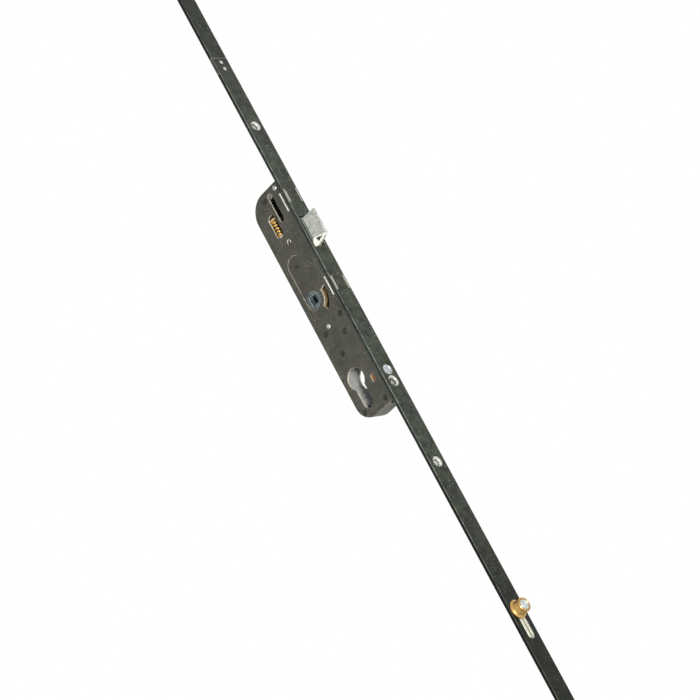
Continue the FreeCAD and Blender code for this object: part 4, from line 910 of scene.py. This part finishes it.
class LOCK_OT_fasteners(bpy.types.Operator):
    """Domed and flat riveted posts, the pivot and the upset ends of the flat ones"""

    bl_idname = "lock.fasteners"
    bl_label = "Posts and rivets"

    def execute(self, context):
        sizes = context.scene.lock_sizes
        coats = finishes()
        paint_node("case_posts_domed", coats["dome"])
        for node in ("case_posts_flat", "guard_rivet", "lever_pivot_pin", "latch_guide_pin"):
            paint_node(node, coats["dark"])
        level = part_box("near_side_plate")[0].y
        posts = lump_centres("case_posts_flat") + lump_centres("guard_rivet")
        ends = grown("upset_rivet_ends", upset_ends(), [(post.x, level, post.z) for post in posts],
                     {"Radius": sizes.end_radius, "Height": sizes.end_height, "Material": coats["upset"]})
        finish_piece(ends, "upset_rivet_ends", "lock_case")
        return {"FINISHED"}


class LOCK_OT_drive(bpy.types.Operator):
    """Follower, gear sector, rack, sliding rod and its lug"""

    bl_idname = "lock.drive"
    bl_label = "Drive"

    def execute(self, context):
        sizes = context.scene.lock_sizes
        coats = finishes()
        dress_node("follower", [coats["hub"]], sizes.small_edge * 2)
        for node, coat in (("gear_sector", "gilt"), ("drive_rack", "gilt"), ("rod_lug", "gilt"),
                           ("drive_rod", "rod"), ("lock_slide", "zinc")):
            dress_node(node, [coats[coat]], sizes.small_edge)
        dress_node("lug_pin", [coats["pin"]], sizes.small_edge)
        return {"FINISHED"}


class LOCK_OT_rollers(bpy.types.Operator):
    """Turned brass rollers on riveted axles"""

    bl_idname = "lock.rollers"
    bl_label = "Rollers"

    def execute(self, context):
        coats = finishes()
        for place in ("lower", "upper"):
            self.axle(f"{place}_roller_pin", coats["axle"])
            node = f"{place}_roller"
            low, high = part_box(node)
            foot, top = low.x, high.x
            profile = [(foot, 2.55), (foot, 7.1), (foot + 0.12 * MM, 7.3), (foot + 0.3 * MM, 7.28),
                       (foot + 0.5 * MM, 6.9), (foot + 0.9 * MM, 6.3), (foot + 1.4 * MM, 5.85),
                       (foot + 2.0 * MM, 5.6), (foot + 5.0 * MM, 5.58), (foot + 5.15 * MM, 5.5),
                       (foot + 5.3 * MM, 5.58), (top - 0.6 * MM, 5.6), (top - 0.25 * MM, 5.45),
                       (top, 5.1), (top, 4.35), (top - 0.15 * MM, 4.2), (top - 1.0 * MM, 4.2),
                       (top - 1.0 * MM, 2.55)]
            mesh = lathe(f"{node}_turned", [(x, radius * MM) for x, radius in profile], middle(low, high),
                         count=72)
            mesh.materials.append(coats["brass"])
            finish_piece(mesh, f"{node}_turned", body_of(node), [node])
        return {"FINISHED"}

    @staticmethod
    def axle(node, finish):
        """The riveted axle: foot in the rod, shoulder, shank and a ringed head with a dimple."""
        low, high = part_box(node)
        foot, top = low.x, high.x
        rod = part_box("drive_rod")[1].x
        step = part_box("faceplate")[1].x + 0.2 * MM
        profile = [(foot, 0.0), (foot, 2.0), (rod, 2.0), (rod, 3.0), (step, 3.0), (step, 2.5),
                   (top - 0.8 * MM, 2.5), (top - 0.8 * MM, 4.0), (top - 0.3 * MM, 4.0), (top - 0.1 * MM, 3.8),
                   (top - 0.1 * MM, 3.2), (top - 0.35 * MM, 2.9), (top - 0.3 * MM, 2.5), (top, 2.1),
                   (top, 1.3), (top - 0.5 * MM, 0.7), (top - 0.6 * MM, 0.0)]
        mesh = lathe(f"{node}_turned", [(x, radius * MM) for x, radius in profile], middle(low, high),
                     count=56)
        mesh.materials.append(finish)
        finish_piece(mesh, f"{node}_turned", "drive_rod", [node])


class LOCK_OT_latch(bpy.types.Operator):
    """The cast latch head and its tail"""

    bl_idname = "lock.latch"
    bl_label = "Latch"

    def execute(self, context):
        sizes = context.scene.lock_sizes
        coats = finishes()
        low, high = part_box("latch_head")
        face_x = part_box("faceplate")[1].x
        tip = high.x - 2.4 * MM
        tunnel_near, tunnel_far = -0.6 * MM, 3.8 * MM
        hollow_near, hollow_root, hollow_top = low.y + 0.8 * MM, face_x + 2.6 * MM, low.z + 8.0 * MM

        def latch_face(face):
            """The walls of the hollow in the lower end, and the faces there that look up, are 1, painted
            shade in dark steel; the lower facets 2, a lighter copy of the casting as painted light; the rest
            0.
            """
            centre = face.calc_center_median()
            if centre.x < face_x or centre.z > low.z + 9.0 * MM:
                return 0
            if abs(face.normal.z) < 0.2:
                return 1 if centre.y > low.y + 0.5 * MM and centre.x < high.x - 1.2 * MM else 0
            return 2 if face.normal.z < -0.2 else 1

        def outside(edge):
            """False on the thin walls of the rod's tunnel and of the hollow, whose edges stay sharp."""
            places = [vert.co for vert in edge.verts]
            tunnel = all(tunnel_near < place.y < tunnel_far and place.x < tip for place in places)
            hollow = all(hollow_near < place.y < 0.0 and hollow_root < place.x < tip
                         and place.z < hollow_top for place in places)
            return not tunnel and not hollow

        # Painted shade in dark steel in the hollow, painted light on the lower facets.
        dress_node("latch_head", [coats["casting"], coats["dark"], coats["casting_painted_light"]], sizes.cast_edge,
                   latch_face, outside)
        for node, coat in (("latch_tail", "gilt"), ("latch_lever", "gilt"), ("return_plunger", "zinc"),
                           ("spring_seat", "gilt")):
            dress_node(node, [coats[coat]], sizes.small_edge)
        for node in ("lever_tip_pin", "lever_heel_pin"):
            paint_node(node, coats["dark"])
        return {"FINISHED"}


class LOCK_OT_spring(bpy.types.Operator):
    """The wound return spring behind its window"""

    bl_idname = "lock.spring"
    bl_label = "Return spring"

    def execute(self, context):
        sizes = context.scene.lock_spring
        coats = finishes()
        low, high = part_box("return_spring")
        centre = ((low.x + high.x) / 2, (low.y + high.y) / 2, 0.0)
        half = sizes.wire / 2
        mesh = grown("return_spring_wound", wound_spring(), [(0.0, 0.0, 0.0)],
                     {"Turns": sizes.turns, "Radius": sizes.radius, "Wire": sizes.wire, "Centre": centre,
                      "Low": low.z + half, "High": high.z - half, "Material": coats["gold"]})
        spring = finish_piece(mesh, "return_spring_wound", "lock_case", ["return_spring"])
        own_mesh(spring)
        return {"FINISHED"}


STEPS = ("stage", "faceplate", "case", "fasteners", "drive", "rollers", "latch", "spring")


class LOCK_PT_panel(bpy.types.Panel):
    """Sizes, colours and steps of the lock"""

    bl_idname = "LOCK_PT_panel"
    bl_label = "Multipoint Lock"
    bl_space_type = "VIEW_3D"
    bl_region_type = "UI"
    bl_category = "Lock"

    def draw(self, context):
        for group in (context.scene.lock_sizes, context.scene.lock_spring, context.scene.lock_colours):
            box = self.layout.box()
            for name in group.bl_rna.properties.keys():
                if name not in ("rna_type", "name"):
                    box.prop(group, name)
        for step in STEPS:
            self.layout.operator(f"lock.{step}")


CLASSES = (LockFinishSizes, LockSpringSizes, LockColours, LOCK_OT_stage, LOCK_OT_faceplate, LOCK_OT_case,
           LOCK_OT_fasteners, LOCK_OT_drive, LOCK_OT_rollers, LOCK_OT_latch, LOCK_OT_spring, LOCK_PT_panel)
GROUPS = {"lock_sizes": LockFinishSizes, "lock_spring": LockSpringSizes, "lock_colours": LockColours}


def register():
    """Add the classes and the scene's property groups."""
    for item in CLASSES:
        bpy.utils.register_class(item)
    for name, group in GROUPS.items():
        setattr(bpy.types.Scene, name, bpy.props.PointerProperty(type=group))


def unregister():
    """Take them out again."""
    for name in GROUPS:
        delattr(bpy.types.Scene, name)
    for item in reversed(CLASSES):
        bpy.utils.unregister_class(item)


def main():
    """Build the finished lock, one operator after the other."""
    register()
    for step in STEPS:
        getattr(bpy.ops.lock, step)()


if __name__ == "__main__":
    main()
